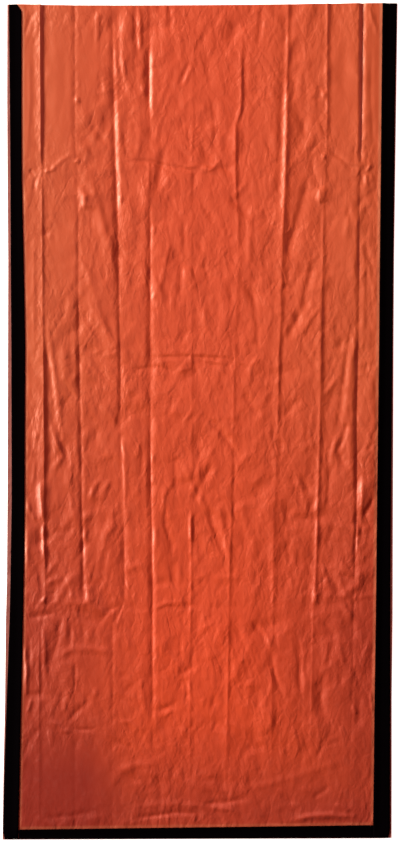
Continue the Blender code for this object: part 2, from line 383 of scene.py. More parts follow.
# every packing fold, left to right, each knot as Y, X, lift, left flank and right flank
FOLDS = (
    # the rim fold on the left
    Fold((
        Knot(-990, -382, 0.5, 16, 10), Knot(-830, -381, 0.6, 12, 9), Knot(-755, -381, 0.6, 12, 9),
        Knot(-680, -381, 1.6, 12, 9), Knot(-545, -381, 2.0, 12, 8), Knot(-475, -380, 0.9, 12, 8),
        Knot(-430, -367, 0.9, 9, 8), Knot(-400, -366, 1.2, 10, 9), Knot(-330, -367, 3.2, 12, 10),
        Knot(-257, -369, 2.8, 13, 10), Knot(-186, -369, 1.3, 17, 9), Knot(-115, -369, 3.6, 20, 10),
        Knot(-44, -369, 4.6, 26, 11), Knot(27, -370, 5.3, 30, 12), Knot(98, -370, 4.6, 30, 11),
        Knot(169, -371, 3.6, 28, 10), Knot(235, -372, 0.9, 12, 9), Knot(312, -373, 2.0, 12, 9),
        Knot(383, -373, 3.1, 12, 9), Knot(454, -374, 2.6, 11, 9), Knot(525, -374, 3.0, 12, 9),
        Knot(585, -375, 1.2, 10, 8), Knot(610, -376, 2.2, 10, 9), Knot(640, -377, 4.6, 15, 9),
        Knot(738, -377, 5.4, 16, 9), Knot(880, -378, 5.6, 16, 9), Knot(985, -378, 5.8, 14, 9),
    )),
    # the second fold on the left
    Fold((
        Knot(-990, -296, -0.2, 10, 10), Knot(-830, -296, -0.3, 10, 10), Knot(-765, -296, -0.5, 9, 8),
        Knot(-735, -297, -1.0, 14, 6), Knot(-684, -296, -0.7, 14, 6), Knot(-620, -296, -1.1, 14, 6),
        Knot(-575, -296, -0.9, 12, 6), Knot(-550, -295, -0.3, 9, 8),
        Knot(-480, -294, -0.2, 9, 8), Knot(-425, -278, -1.2, 10, 8), Knot(-399, -277, -2.0, 10, 9),
        Knot(-328, -277, -3.6, 11, 8), Knot(-257, -278, -2.7, 9, 7), Knot(-186, -280, -2.2, 10, 8),
        Knot(-115, -281, -3.0, 11, 9), Knot(-44, -281, -3.2, 12, 8), Knot(27, -283, -2.6, 12, 7),
        Knot(98, -285, -4.0, 12, 14), Knot(169, -286, -4.4, 12, 15), Knot(241, -287, -2.7, 12, 15),
        Knot(312, -288, -2.0, 11, 9), Knot(383, -288, -1.6, 10, 8), Knot(454, -288, -2.2, 10, 9),
        Knot(525, -289, -1.2, 9, 9), Knot(596, -292, -0.5, 9, 9), Knot(650, -295, -1.1, 11, 6),
        Knot(738, -296, -1.9, 12, 6), Knot(880, -296, -1.4, 12, 6), Knot(940, -296, -2.1, 11, 9),
        Knot(985, -296, -2.4, 12, 9),
    )),
    # the third fold on the left
    Fold((
        Knot(-990, -208, -0.1, 12, 12), Knot(-826, -208, -0.3, 12, 12), Knot(-755, -207, -0.6, 10, 9),
        Knot(-684, -207, -0.8, 10, 9), Knot(-542, -207, -1.4, 11, 9), Knot(-480, -207, -1.2, 11, 9),
        Knot(-430, -179, -1.2, 16, 9), Knot(-399, -179, -2.0, 20, 9), Knot(-328, -179, -3.4, 18, 12),
        Knot(-257, -180, -3.2, 16, 15), Knot(-215, -180, -0.9, 12, 9), Knot(-186, -181, -0.4, 11, 9),
        Knot(-115, -184, -0.9, 10, 9), Knot(-44, -188, -0.7, 10, 9), Knot(0, -189, -0.9, 9, 9),
        Knot(27, -188, -2.4, 9, 16), Knot(98, -188, -3.0, 9, 11), Knot(169, -189, -3.4, 9, 18),
        Knot(241, -191, -2.2, 11, 9), Knot(312, -192, -2.8, 13, 10), Knot(383, -193, -4.6, 17, 24),
        Knot(454, -194, -5.4, 17, 28), Knot(525, -196, -4.0, 16, 13), Knot(596, -199, -3.0, 16, 9),
        Knot(738, -203, -3.2, 17, 9), Knot(809, -205, -2.8, 15, 9), Knot(880, -206, -2.6, 13, 9),
        Knot(940, -207, -1.0, 12, 9), Knot(985, -208, -0.6, 12, 9),
    )),
    # a low crest beside the third fold on the left
    Fold((
        Knot(500, -187, 0.0, 9, 12), Knot(530, -186, 0.9, 9, 10), Knot(596, -189, 0.8, 9, 12),
        Knot(667, -191, 1.2, 9, 16), Knot(738, -193, 1.4, 9, 15), Knot(809, -196, 1.8, 9, 15),
        Knot(880, -200, 1.2, 9, 12), Knot(940, -202, 0.2, 9, 8), Knot(985, -203, 0.0, 9, 8),
    ), leads=False),
    # the fourth fold on the left
    Fold((
        Knot(-990, -113, -0.1, 14, 12), Knot(-826, -112, -0.3, 12, 10), Knot(-755, -112, -0.8, 12, 9),
        Knot(-684, -112, -1.1, 13, 9), Knot(-613, -112, -3.0, 15, 14), Knot(-542, -113, -3.2, 15, 10),
        Knot(-470, -113, -3.2, 15, 9), Knot(-399, -112, -3.5, 15, 11), Knot(-328, -113, -4.0, 15, 11),
        Knot(-257, -114, -3.5, 14, 10), Knot(-186, -116, -3.2, 14, 9), Knot(-115, -117, -3.6, 13, 8),
        Knot(-44, -118, -3.2, 12, 9), Knot(0, -118, -1.4, 12, 9), Knot(27, -118, -1.0, 13, 8),
        Knot(98, -119, -0.4, 12, 9), Knot(140, -118, -0.7, 12, 9), Knot(169, -118, -1.6, 14, 10),
        Knot(241, -118, -2.2, 14, 8), Knot(312, -118, -2.8, 14, 9), Knot(383, -118, -3.0, 14, 8),
        Knot(454, -118, -3.0, 14, 8), Knot(495, -118, -2.4, 15, 9), Knot(530, -119, -0.1, 9, 8),
        Knot(596, -120, 1.1, 9, 8), Knot(640, -120, 0.1, 9, 8), Knot(700, -118, -0.8, 10, 9),
        Knot(738, -119, -3.0, 15, 8), Knot(809, -120, -4.0, 15, 8), Knot(860, -120, -3.6, 15, 8),
        Knot(900, -119, -1.8, 15, 9), Knot(925, -118, -0.5, 12, 9), Knot(985, -118, -0.2, 12, 9),
    )),
    # the middle fold
    Fold((
        Knot(-990, -26, 0.1, 10, 10), Knot(-840, -24, 0.3, 10, 10), Knot(-755, -24, 1.0, 9, 9),
        Knot(-613, -24, 1.4, 8, 9), Knot(-560, -23, 0.5, 9, 9), Knot(-470, -23, 1.3, 8, 9),
        Knot(-399, -21, 1.6, 7, 8), Knot(-328, -21, 1.9, 7, 8), Knot(-257, -21, 2.0, 7, 8),
        Knot(-205, -21, 0.8, 7, 8), Knot(-180, -20, 0.1, 8, 8), Knot(-115, -20, 0.8, 8, 8),
        Knot(-44, -20, 0.7, 9, 9), Knot(98, -20, 0.8, 9, 8), Knot(150, -20, 1.6, 8, 8),
        Knot(180, -20, 0.3, 9, 9), Knot(380, -20, 0.6, 9, 9), Knot(500, -20, 0.6, 9, 9),
        Knot(530, -21, 0.6, 8, 8), Knot(585, -21, 0.6, 8, 8), Knot(600, -20, 0.6, 9, 9),
        Knot(667, -18, 1.2, 8, 8), Knot(738, -17, 0.4, 9, 9), Knot(850, -17, 0.5, 9, 9),
        Knot(985, -18, 0.1, 9, 9),
    )),
    # the fourth fold on the right
    Fold((
        Knot(-990, 60, 0.0, 12, 10), Knot(-897, 61, 0.2, 10, 9), Knot(-826, 62, 0.6, 10, 8),
        Knot(-755, 63, 1.0, 9, 9), Knot(-684, 65, 1.5, 10, 9), Knot(-613, 66, 2.0, 9, 8),
        Knot(-542, 67, 2.0, 8, 8), Knot(-470, 68, 1.1, 9, 8), Knot(-399, 69, 1.3, 7, 8),
        Knot(-328, 70, 1.6, 9, 9), Knot(-280, 72, 1.6, 9, 8), Knot(-257, 73, 1.6, 12, 8),
        Knot(-186, 75, 2.1, 12, 9), Knot(-115, 76, 1.2, 9, 8), Knot(-44, 77, 0.5, 9, 8),
        Knot(27, 79, 1.3, 8, 8), Knot(98, 81, 1.3, 9, 8), Knot(169, 83, 0.7, 8, 8),
        Knot(241, 84, 0.8, 9, 10), Knot(312, 88, 0.9, 9, 12), Knot(383, 90, 1.4, 9, 18),
        Knot(454, 90, 2.0, 10, 18), Knot(500, 89, 2.0, 10, 12), Knot(525, 86, 2.4, 12, 9),
        Knot(596, 84, 3.1, 13, 8), Knot(667, 84, 2.7, 13, 8), Knot(705, 85, 2.2, 11, 9),
        Knot(730, 95, 2.6, 13, 9), Knot(760, 98, 3.2, 12, 8), Knot(809, 98, 3.0, 12, 8),
        Knot(860, 98, 2.0, 11, 8), Knot(900, 99, 0.7, 9, 9), Knot(985, 100, 0.1, 9, 9),
    )),
    # the third fold on the right
    Fold((
        Knot(-990, 170, 0.1, 12, 12), Knot(-826, 170, 0.3, 12, 12), Knot(-755, 169, 0.6, 12, 12),
        Knot(-684, 169, 0.8, 11, 10), Knot(-613, 170, 1.2, 11, 10), Knot(-542, 171, 1.5, 10, 10),
        Knot(-470, 172, 1.1, 10, 10), Knot(-425, 173, 1.4, 9, 10), Knot(-399, 173, 2.1, 8, 18),
        Knot(-328, 172, 2.6, 12, 24), Knot(-257, 174, 2.4, 14, 24), Knot(-215, 176, 0.8, 10, 12),
        Knot(-186, 177, 0.6, 10, 10), Knot(-115, 180, 1.0, 9, 10), Knot(-44, 183, 0.6, 9, 10),
        Knot(27, 185, 1.9, 14, 9), Knot(98, 186, 2.9, 11, 9), Knot(169, 187, 3.3, 18, 9),
        Knot(241, 191, 2.2, 9, 11), Knot(312, 192, 2.6, 10, 13), Knot(383, 195, 3.8, 18, 18),
        Knot(454, 196, 4.6, 25, 17), Knot(525, 199, 3.4, 13, 16), Knot(596, 202, 3.0, 13, 13),
        Knot(738, 205, 3.0, 13, 13), Knot(809, 206, 2.9, 13, 12), Knot(880, 208, 3.2, 11, 12),
        Knot(940, 208, 2.6, 9, 11), Knot(985, 209, 2.4, 9, 11),
    )),
    # a shallow trough beside the third fold on the right
    Fold((
        Knot(500, 187, 0.0, 12, 9), Knot(530, 187, -1.4, 12, 9), Knot(596, 190, -1.4, 14, 9),
        Knot(667, 192, -2.6, 16, 9), Knot(738, 195, -2.9, 15, 9), Knot(809, 198, -2.2, 15, 9),
        Knot(880, 201, -0.8, 10, 9), Knot(940, 203, -0.2, 9, 9), Knot(985, 205, 0.0, 9, 9),
    ), leads=False),
    # the second fold on the right
    Fold((
        Knot(-990, 261, 0.2, 10, 10), Knot(-755, 262, 0.5, 6, 16), Knot(-684, 263, 1.1, 4, 24),
        Knot(-613, 264, 1.5, 4, 24), Knot(-542, 266, 1.2, 4, 24), Knot(-470, 267, 1.3, 4, 20),
        Knot(-410, 268, 1.6, 6, 12), Knot(-385, 273, 2.0, 8, 10), Knot(-328, 275, 2.6, 8, 10),
        Knot(-257, 277, 2.2, 7, 9), Knot(-186, 279, 2.1, 8, 9), Knot(-115, 281, 2.5, 9, 10),
        Knot(-44, 283, 2.6, 8, 12), Knot(27, 284, 2.4, 7, 12), Knot(98, 286, 2.6, 14, 12),
        Knot(169, 287, 2.4, 13, 12), Knot(241, 288, 2.4, 13, 12), Knot(312, 289, 2.2, 9, 11),
        Knot(383, 291, 1.8, 8, 10), Knot(454, 291, 2.0, 9, 10), Knot(525, 293, 1.1, 9, 9),
        Knot(596, 297, 0.5, 9, 9), Knot(660, 300, 1.2, 7, 10), Knot(738, 301, 2.2, 7, 11),
        Knot(880, 301, 2.3, 7, 10), Knot(925, 301, 2.8, 8, 9), Knot(945, 302, 4.0, 9, 12),
        Knot(985, 302, 4.0, 9, 12),
    )),
    # the rim fold on the right
    Fold((
        Knot(-990, 352, -0.2, 10, 12), Knot(-826, 354, -0.4, 10, 12), Knot(-755, 357, -0.8, 12, 10),
        Knot(-684, 360, -1.0, 11, 9), Knot(-613, 361, -0.9, 11, 9), Knot(-542, 362, -0.9, 9, 12),
        Knot(-470, 363, -1.5, 9, 10), Knot(-399, 365, -1.3, 9, 9), Knot(-328, 367, -2.7, 10, 10),
        Knot(-257, 370, -3.6, 10, 10), Knot(-186, 371, -2.5, 10, 16), Knot(-115, 371, -4.4, 10, 18),
        Knot(-44, 371, -4.2, 11, 26), Knot(27, 371, -4.9, 12, 30), Knot(98, 372, -4.6, 11, 30),
        Knot(169, 374, -3.8, 11, 28), Knot(241, 376, -1.0, 9, 12), Knot(312, 377, -2.0, 9, 12),
        Knot(383, 377, -3.4, 9, 12), Knot(454, 377, -2.9, 9, 11), Knot(525, 378, -2.0, 9, 12),
        Knot(590, 380, -1.0, 8, 10), Knot(620, 381, -2.0, 9, 9), Knot(650, 382, -4.8, 10, 9),
        Knot(738, 383, -6.0, 10, 9), Knot(880, 384, -6.6, 10, 9), Knot(985, 385, -6.8, 10, 10),
    )),
)

# the left half's creases, which the right half repeats in mirror image
SIDE_CREASES = (
    # the star on the rim fold, and the slanting folds beside it
    Crease(((-379, 588), (-350, 594), (-330, 615), (-297, 638)), 1.3, 8, 8),
    Crease(((-403, 598), (-391, 580)), -1.2, 7, 7),
    Crease(((-393, 548), (-391, 577)), -1.0, 6, 6),
    Crease(((-384, 548), (-380, 580)), 0.6, 7, 6),
    Crease(((-283, 652), (-249, 622)), 1.0, 7, 7),
    Crease(((-284, 512), (-275, 560), (-262, 612)), 0.8, 12, 12),
    # between the second and the third fold
    Crease(((-284, 264), (-261, 234), (-232, 188)), -1.3, 8, 9),
    Crease(((-270, 300), (-240, 245), (-203, 180)), 1.2, 12, 12),
    Crease(((-280, 392), (-261, 364)), -0.9, 7, 7),
    Crease(((-228, 372), (-222, 335)), -0.9, 8, 7),
    Crease(((-232, 335), (-213, 290)), 0.9, 8, 8),
    Crease(((-237, 50), (-215, 18), (-190, -8)), 1.3, 12, 12),
    Crease(((-249, -55), (-240, -10)), -0.9, 8, 8),
    Crease(((-270, -80), (-256, -30)), -0.9, 7, 7),
    Crease(((-261, -186), (-254, -162), (-242, -140)), 1.3, 7, 9),
    Crease(((-237, -200), (-228, -165), (-213, -138)), 1.2, 8, 8),
    Crease(((-256, -230), (-242, -180)), -1.0, 8, 8),
    Crease(((-228, -425), (-218, -387), (-208, -330)), -1.5, 12, 9),
    Crease(((-240, -360), (-232, -310)), 0.8, 9, 9),
    Crease(((-244, 775), (-232, 760)), -1.2, 10, 9),
    Crease(((-252, 690), (-245, 740)), 0.7, 9, 9),
    # the long facets that lean between the second and the third fold
    Crease(((-237, 828), (-232, 767)), -1.1, 9, 12),
    Crease(((-227, 743), (-242, 696), (-256, 648)), 1.0, 12, 14),
    Crease(((-208, 780), (-203, 650), (-199, 525), (-195, 420)), -1.9, 14, 38),
    Crease(((-265, 608), (-251, 549), (-237, 496), (-220, 435), (-206, 378)), 1.7, 14, 24),
    Crease(((-277, 402), (-256, 323), (-242, 269), (-203, 180)), 1.3, 10, 16),
    Crease(((-258, -181), (-246, -150), (-229, -134)), 1.2, 12, 8),
    Crease(((-225, -158), (-213, -139)), 1.0, 9, 8),
    Crease(((-205, -200), (-206, -245), (-213, -270)), 1.1, 10, 20),
    Crease(((-208, -281), (-213, -328), (-227, -423)), 1.6, 22, 10),
    Crease(((-270, -388), (-249, -328)), 1.0, 9, 9),
    # between the rim fold and the second fold
    Crease(((-354, 160), (-352, 60), (-351, -40), (-357, -130)), -1.2, 10, 12),
    Crease(((-362, 245), (-353, 181), (-343, 110), (-332, 27), (-320, -60)), 1.5, 9, 14),
    Crease(((-356, 100), (-352, 20), (-347, -60)), 0.9, 8, 9),
    Crease(((-341, -44), (-325, -82), (-341, -115)), 1.1, 8, 8),
    Crease(((-313, -44), (-303, -103), (-313, -162)), 1.0, 8, 8),
    Crease(((-350, -400), (-345, -430)), -1.3, 12, 14),
    Crease(((-300, -380), (-296, -410)), -1.0, 11, 11),
    Crease(((-330, 103), (-308, 70), (-289, 46)), -1.3, 9, 9),
    Crease(((-350, -10), (-337, -56), (-327, -79)), 1.3, 9, 9),
    Crease(((-344, -112), (-330, -84)), 1.2, 8, 8),
    Crease(((-327, -44), (-306, -98)), -1.2, 9, 8),
    Crease(((-313, -150), (-318, -110)), 0.9, 8, 8),
    Crease(((-303, -220), (-306, -120)), 1.2, 8, 7),
    Crease(((-355, -264), (-320, -258), (-286, -254)), -0.6, 10, 10),
    Crease(((-350, -300), (-300, -290)), 0.5, 10, 10),
    Crease(((-365, -392), (-355, -378), (-325, -369)), 1.6, 8, 11),
    Crease(((-365, -369), (-350, -345), (-337, -328)), 1.3, 8, 9),
    Crease(((-332, -425), (-322, -395), (-296, -357)), 1.6, 12, 11),
    Crease(((-350, 480), (-342, 420)), -0.9, 8, 8),
    Crease(((-353, 500), (-346, 470)), 0.8, 7, 7),
    Crease(((-345, 935), (-340, 800), (-343, 690)), 0.35, 16, 16),
    Crease(((-322, 880), (-318, 760)), -0.3, 14, 14),
    # on the rim
    Crease(((-418, 905), (-398, 965)), -1.0, 8, 8),
    Crease(((-412, -186), (-401, -214), (-384, -238)), 1.6, 8, 9),
    Crease(((-412, -56), (-396, -80)), 1.0, 8, 8),
    Crease(((-396, -150), (-389, -90)), 0.9, 8, 8),
    Crease(((-410, -300), (-384, -340), (-372, -420)), -0.9, 12, 12),
    Crease(((-415, 500), (-400, 503), (-380, 500)), -0.6, 7, 7),
    Crease(((-392, 480), (-394, 260), (-392, 120)), 0.5, 9, 9),
    Crease(((-410, 620), (-402, 760), (-404, 880)), 0.5, 9, 9),
)

# creases of the middle of the film, from the mouth down
MIDDLE_CREASES = (
    # by the mouth
    Crease(((-150, 870), (-152, 930), (-153, 985)), -1.3, 8, 8),
    Crease(((-141, 870), (-142, 930), (-143, 985)), 1.5, 8, 7),
    Crease(((-71, 925), (-72, 986)), -2.2, 8, 9),
    Crease(((-243, 895), (-243, 960)), 1.0, 8, 8),
    Crease(((137, 885), (142, 930), (149, 987)), -1.7, 8, 9),
    Crease(((36, 860), (38, 930)), -0.8, 8, 8),
    Crease(((83, 895), (76, 950)), -1.0, 7, 8),
    Crease(((-52, 788), (-38, 820), (-24, 848)), -1.5, 8, 9),
    Crease(((-40, 800), (-33, 812), (-20, 840)), 1.1, 6, 8),
    Crease(((-92, 760), (-66, 850)), 0.7, 9, 9),
    Crease(((-40, 890), (-60, 940)), 0.6, 9, 9),
    Crease(((10, 860), (31, 790)), -1.2, 9, 8),
    Crease(((28, 770), (36, 730), (38, 690), (34, 620)), -1.4, 9, 9),
    Crease(((118, 650), (112, 760), (120, 860)), 0.6, 12, 12),
    Crease(((-195, 865), (-173, 765)), -1.3, 10, 9),
    Crease(((-178, 690), (-173, 620)), -0.9, 8, 8),
    Crease(((-140, 700), (-150, 620)), 0.6, 9, 9),
    # the upper cross fold
    Crease(((-168, 617), (-118, 615), (-76, 604), (-12, 594)), -1.2, 8, 10, 0.15),
    Crease(((-116, 616), (-83, 598), (-47, 580)), -1.0, 7, 8),
    Crease(((0, 610), (24, 592), (52, 622)), 1.3, 8, 8),
    Crease(((-40, 600), (0, 606)), 0.9, 8, 8),
    Crease(((52, 606), (70, 590)), -0.9, 8, 8),
    Crease(((-122, 540), (-123, 600)), 0.5, 8, 8),
    # chest
    Crease(((0, 520), (36, 472)), -1.3, 9, 9),
    Crease(((5, 440), (28, 380)), 0.9, 9, 8),
    Crease(((8, 378), (24, 324)), -1.5, 9, 8),
    Crease(((52, 380), (56, 330)), -0.8, 9, 9),
    Crease(((66, 335), (78, 276)), -1.2, 9, 8),
    Crease(((26, 300), (36, 240)), 0.8, 9, 9),
    Crease(((118, 335), (130, 276), (137, 217), (137, 169)), -1.3, 9, 9),
    Crease(((137, 150), (123, 130)), 1.1, 8, 8),
    Crease(((-95, 312), (-88, 347), (-71, 430)), 1.2, 8, 9),
    Crease(((-47, 288), (-43, 378)), -1.4, 9, 8),
    Crease(((-36, 385), (-38, 490)), -1.1, 11, 9),
    Crease(((-60, 330), (-66, 260)), 0.8, 8, 8),
    Crease(((-80, 500), (-71, 440)), -0.7, 9, 9),
    Crease(((120, 500), (118, 360)), 1.0, 9, 9),
    Crease(((150, 440), (158, 350)), -0.6, 12, 12),
    # the middle cross fold
    Crease(((-116, 151), (-24, 154), (0, 152), (66, 149), (90, 133), (118, 121)), -0.9, 8, 10, 0.08),
    Crease(((-116, 131), (-95, 127), (-59, 117)), -1.0, 8, 8),
    Crease(((-20, 150), (10, 138), (47, 131), (70, 128)), -0.9, 7, 8),
    Crease(((-50, 118), (-20, 128)), 0.7, 8, 8),
    # waist
    Crease(((102, 72), (118, 46), (140, 13)), -1.6, 10, 9),
    Crease(((0, 23), (36, -8), (78, -60), (102, -108)), -1.6, 10, 10),
    Crease(((28, 40), (36, 110)), -0.8, 9, 9),
    Crease(((-83, 5), (-60, 50)), -0.9, 8, 8),
    Crease(((-38, -5), (-20, 25)), 0.9, 8, 8),
    Crease(((-24, -146), (0, -181), (24, -222)), 1.6, 9, 10),
    Crease(((8, -110), (28, -60)), 0.8, 10, 10),
    Crease(((12, -186), (31, -245), (47, -293), (66, -333)), -1.8, 12, 10),
    Crease(((40, -190), (60, -280), (69, -330)), 1.2, 14, 9),
    Crease(((76, -64), (81, -115), (76, -186), (81, -222), (92, -257)), -0.9, 9, 10),
    Crease(((95, -186), (118, -281), (128, -330)), 0.9, 14, 12),
    Crease(((107, -312), (147, -352), (163, -366)), 1.2, 9, 9),
    Crease(((-88, -222), (-83, -158)), 1.5, 8, 9),
    Crease(((-80, -186), (-83, -240), (-66, -293), (-66, -330)), -1.4, 8, 9),
    Crease(((-59, -400), (-66, -330)), -1.0, 9, 8),
    Crease(((-47, -385), (-48, -328)), 1.0, 8, 8),
    Crease(((-57, -180), (-59, -140), (-57, -80)), -1.1, 9, 9),
    Crease(((-33, -105), (-24, -140)), 1.1, 9, 9),
    Crease(((-107, -245), (-102, -300)), 0.8, 8, 8),
    Crease(((120, -240), (135, -330)), 0.8, 12, 12),
    Crease(((-150, -90), (-142, -40)), 1.0, 8, 8),
    Crease(((-140, -130), (-133, -60)), -0.8, 8, 8),
    # the lower cross fold
    Crease(((-290, -441), (-240, -436), (-130, -444), (0, -436), (120, -444)), -0.3, 14, 12, 0.1),
)

# short steep flanks on the folds, which catch the light
GLINTS = (
    Crease(((-378, -135), (-376, -175), (-373, -215), (-371, -240)), 5.4, 26, 14),
    Crease(((-371, -240), (-371, -290), (-369, -326)), 2.8, 12, 7),
    Crease(((-368, -412), (-369, -432)), 2.2, 9, 7),
    Crease(((-391, 905), (-389, 950), (-386, 985)), 1.0, 16, 12),
    Crease(((-271, -248), (-271, -290)), 2.4, 18, 7),
    Crease(((-265, -386), (-264, -434)), 3.6, 20, 8),
    Crease(((-184, -38), (-181, -75)), 1.5, 8, 6),
    Crease(((-112, -75), (-112, -98)), 1.5, 8, 5),
    Crease(((-111, -130), (-111, -148)), 1.6, 8, 5),
    Crease(((-110, -270), (-109, -330), (-108, -372)), 1.8, 10, 7),
    Crease(((-23, -218), (-23, -290)), 1.8, 10, 6),
    Crease(((385, -130), (383, -185), (380, -218)), 5.0, 30, 14),
    Crease(((277, -232), (276, -300)), 2.0, 14, 7),
    Crease(((373, -240), (372, -316)), 2.2, 9, 7),
    Crease(((-273, 542), (-272, 500)), 5.0, 30, 11),
    Crease(((284, 555), (283, 516)), 5.0, 30, 11),
    Crease(((-243, 961), (-243, 869)), 1.4, 7, 6),
    Crease(((272, -386), (272, -434)), 3.4, 20, 8),
)

# where the film leans one way between two folds
BROAD_SLOPES = (
    Crease(((-372, 420), (-370, 100), (-372, -200)), 2.4, 75, 40),
    Crease(((-118, 560), (-117, 200), (-117, -190)), -1.7, 16, 50),
    Crease(((-121, 890), (-121, 720)), -4.0, 10, 62),
    Crease(((-119, 985), (-121, 880)), -3.0, 40, 56),
    Crease(((-178, -10), (-178, -120), (-177, -260)), 2.6, 55, 9),
    Crease(((-181, 985), (-181, 850), (-178, 720)), 2.4, 58, 14),
    Crease(((284, 340), (283, 60)), 1.8, 9, 62),
    Crease(((425, 120), (424, 0), (423, -240)), 1.6, 14, 45),
    Crease(((300, -500), (298, -680)), 1.4, 50, 12),
    Crease(((205, -400), (205, -520)), 1.2, 50, 10),
)

# creases of the foot half, from one side to the other
FOOT_CREASES = (
    Crease(((-412, -650), (-410, -590), (-418, -520)), 1.6, 8, 8),
    Crease(((-402, -600), (-404, -500)), -1.0, 8, 8),
    Crease(((-365, -615), (-368, -530), (-372, -470)), 1.6, 10, 9),
    Crease(((-351, -565), (-337, -518), (-330, -465)), -1.4, 10, 9),
    Crease(((-317, -520), (-318, -455)), 1.4, 9, 9),
    Crease(((-308, -540), (-305, -480)), -1.0, 8, 8),
    Crease(((-275, -530), (-280, -480)), -0.9, 9, 9),
    Crease(((-340, -560), (-300, -540), (-251, -540), (-209, -549)), 1.3, 14, 8, 0.15),
    Crease(((-421, -643), (-403, -645), (-362, -646)), -1.2, 7, 7),
    Crease(((-408, -690), (-398, -655)), 1.2, 8, 8),
    Crease(((-322, -690), (-318, -655)), 1.3, 10, 9),
    Crease(((-360, -707), (-337, -718), (-325, -731), (-303, -736)), 1.4, 8, 9),
    Crease(((-300, -725), (-284, -729), (-246, -729)), -1.1, 8, 8),
    Crease(((-251, -655), (-244, -630)), 1.2, 8, 8),
    Crease(((-273, -690), (-265, -640)), -0.7, 9, 9),
    Crease(((-350, -770), (-358, -730)), 0.7, 12, 12),
    Crease(((-203, -750), (-190, -762), (-160, -773)), -1.2, 8, 9),
    Crease(((-197, -707), (-166, -712), (-135, -736)), 1.1, 9, 9),
    Crease(((-190, -600), (-170, -605)), -1.0, 9, 9),
    Crease(((-180, -640), (-172, -618)), 1.0, 8, 8),
    Crease(((-140, -610), (-133, -680), (-123, -700)), 1.2, 10, 9),
    Crease(((-187, -826), (-166, -845), (-135, -852)), -1.1, 9, 9),
    Crease(((-71, -800), (-71, -850)), 0.8, 9, 9),
    Crease(((-83, -700), (-66, -675)), 1.0, 9, 9),
    Crease(((-43, -494), (-47, -575)), -1.0, 9, 9),
    Crease(((-33, -610), (-31, -655)), -0.9, 9, 8),
    Crease(((-90, -745), (-40, -790)), 0.6, 10, 10),
    Crease(((15, -500), (24, -580)), 0.7, 10, 10),
    Crease(((0, -850), (36, -846), (50, -858)), -1.2, 9, 8),
    Crease(((83, -480), (109, -540), (118, -575)), -1.2, 10, 9),
    Crease(((100, -540), (118, -570)), 1.0, 8, 8),
    Crease(((123, -470), (142, -499), (163, -523)), -1.6, 11, 8),
    Crease(((140, -480), (161, -515), (168, -535)), 1.4, 8, 8),
    Crease(((171, -530), (171, -577), (180, -613), (194, -648)), -1.9, 10, 12),
    Crease(((197, -620), (209, -655)), 1.2, 9, 8),
    Crease(((232, -482), (235, -542), (239, -660)), -1.3, 10, 10),
    Crease(((252, -550), (251, -600)), -0.9, 8, 8),
    Crease(((289, -470), (313, -499), (327, -518)), -1.5, 8, 8),
    Crease(((327, -518), (334, -553), (344, -577)), 1.4, 9, 8),
    Crease(((318, -518), (308, -553), (299, -589)), -1.2, 8, 9),
    Crease(((329, -600), (336, -625)), -1.4, 9, 9),
    Crease(((360, -672), (370, -693)), 1.4, 8, 8),
    Crease(((402, -635), (408, -665), (408, -692)), 1.5, 9, 7),
    Crease(((301, -743), (284, -779), (272, -802)), -1.1, 8, 8),
    Crease(((102, -750), (118, -774), (130, -790)), -1.1, 9, 8),
    Crease(((137, -755), (147, -783)), -0.9, 8, 8),
    Crease(((202, -750), (209, -800)), -0.8, 8, 8),
    Crease(((0, -905), (71, -900), (118, -890)), -1.4, 10, 10),
    Crease(((20, -914), (71, -918), (95, -933)), 1.0, 9, 9),
    Crease(((-166, -940), (-118, -935), (-59, -926), (10, -928)), -1.6, 12, 9),
    Crease(((-160, -912), (-60, -905), (30, -912)), 0.8, 12, 12),
    Crease(((185, -880), (209, -897), (228, -904)), -1.2, 9, 8),
    Crease(((237, -866), (258, -878)), 0.9, 10, 9),
    Crease(((265, -892), (296, -873), (308, -861)), -1.2, 8, 8),
    Crease(((320, -902), (340, -914), (358, -924)), 1.5, 10, 12),
    Crease(((209, -946), (261, -934), (310, -932), (379, -936)), 2.2, 12, 12),
    Crease(((-379, -940), (-308, -934), (-237, -920)), -0.8, 12, 10),
    Crease(((-140, -880), (-60, -872)), 0.5, 14, 14),
    Crease(((-201, -821), (-95, -838), (0, -866), (83, -878)), 0.7, 16, 10, 0.15),
    Crease(((83, -878), (213, -845), (344, -802)), 0.7, 16, 10, 0.15),
)

# small bumps, most of them beside a fold
DIMPLES = (
    Dimple(-291, 760, 11, 3.6),
    Dimple(-291, 615, 8, 2.6),
    Dimple(-240, 959, 11, 3.4),
    Dimple(-188, 526, 9, 2.6),
    Dimple(-109, 452, 8, 2.6),
    Dimple(-109, 296, 8, 2.7),
    Dimple(292, 771, 11, 4.0),
    Dimple(293, 626, 8, 2.6),
    Dimple(187, 536, 9, 1.2),
    Dimple(-374, -424, 8, 1.6),
    Dimple(-272, -395, 9, 1.8),
    Dimple(-276, -272, 9, 1.6),
    Dimple(264, -395, 9, 1.8),
    Dimple(270, -272, 9, 1.6),
    Dimple(367, -417, 8, 1.6),
    Dimple(361, -600, 9, 1.6),
    Dimple(-411, -643, 7, 1.2),
)


@dataclass(frozen=True)
class Calm:
    """A round area where the film is nearly smooth, in millimetres."""

    x: float
    y: float
    half_width: float
    half_length: float
    share: float


CALM_EDGE = 1.6    # above 1, a calm area is evenly calm at its middle

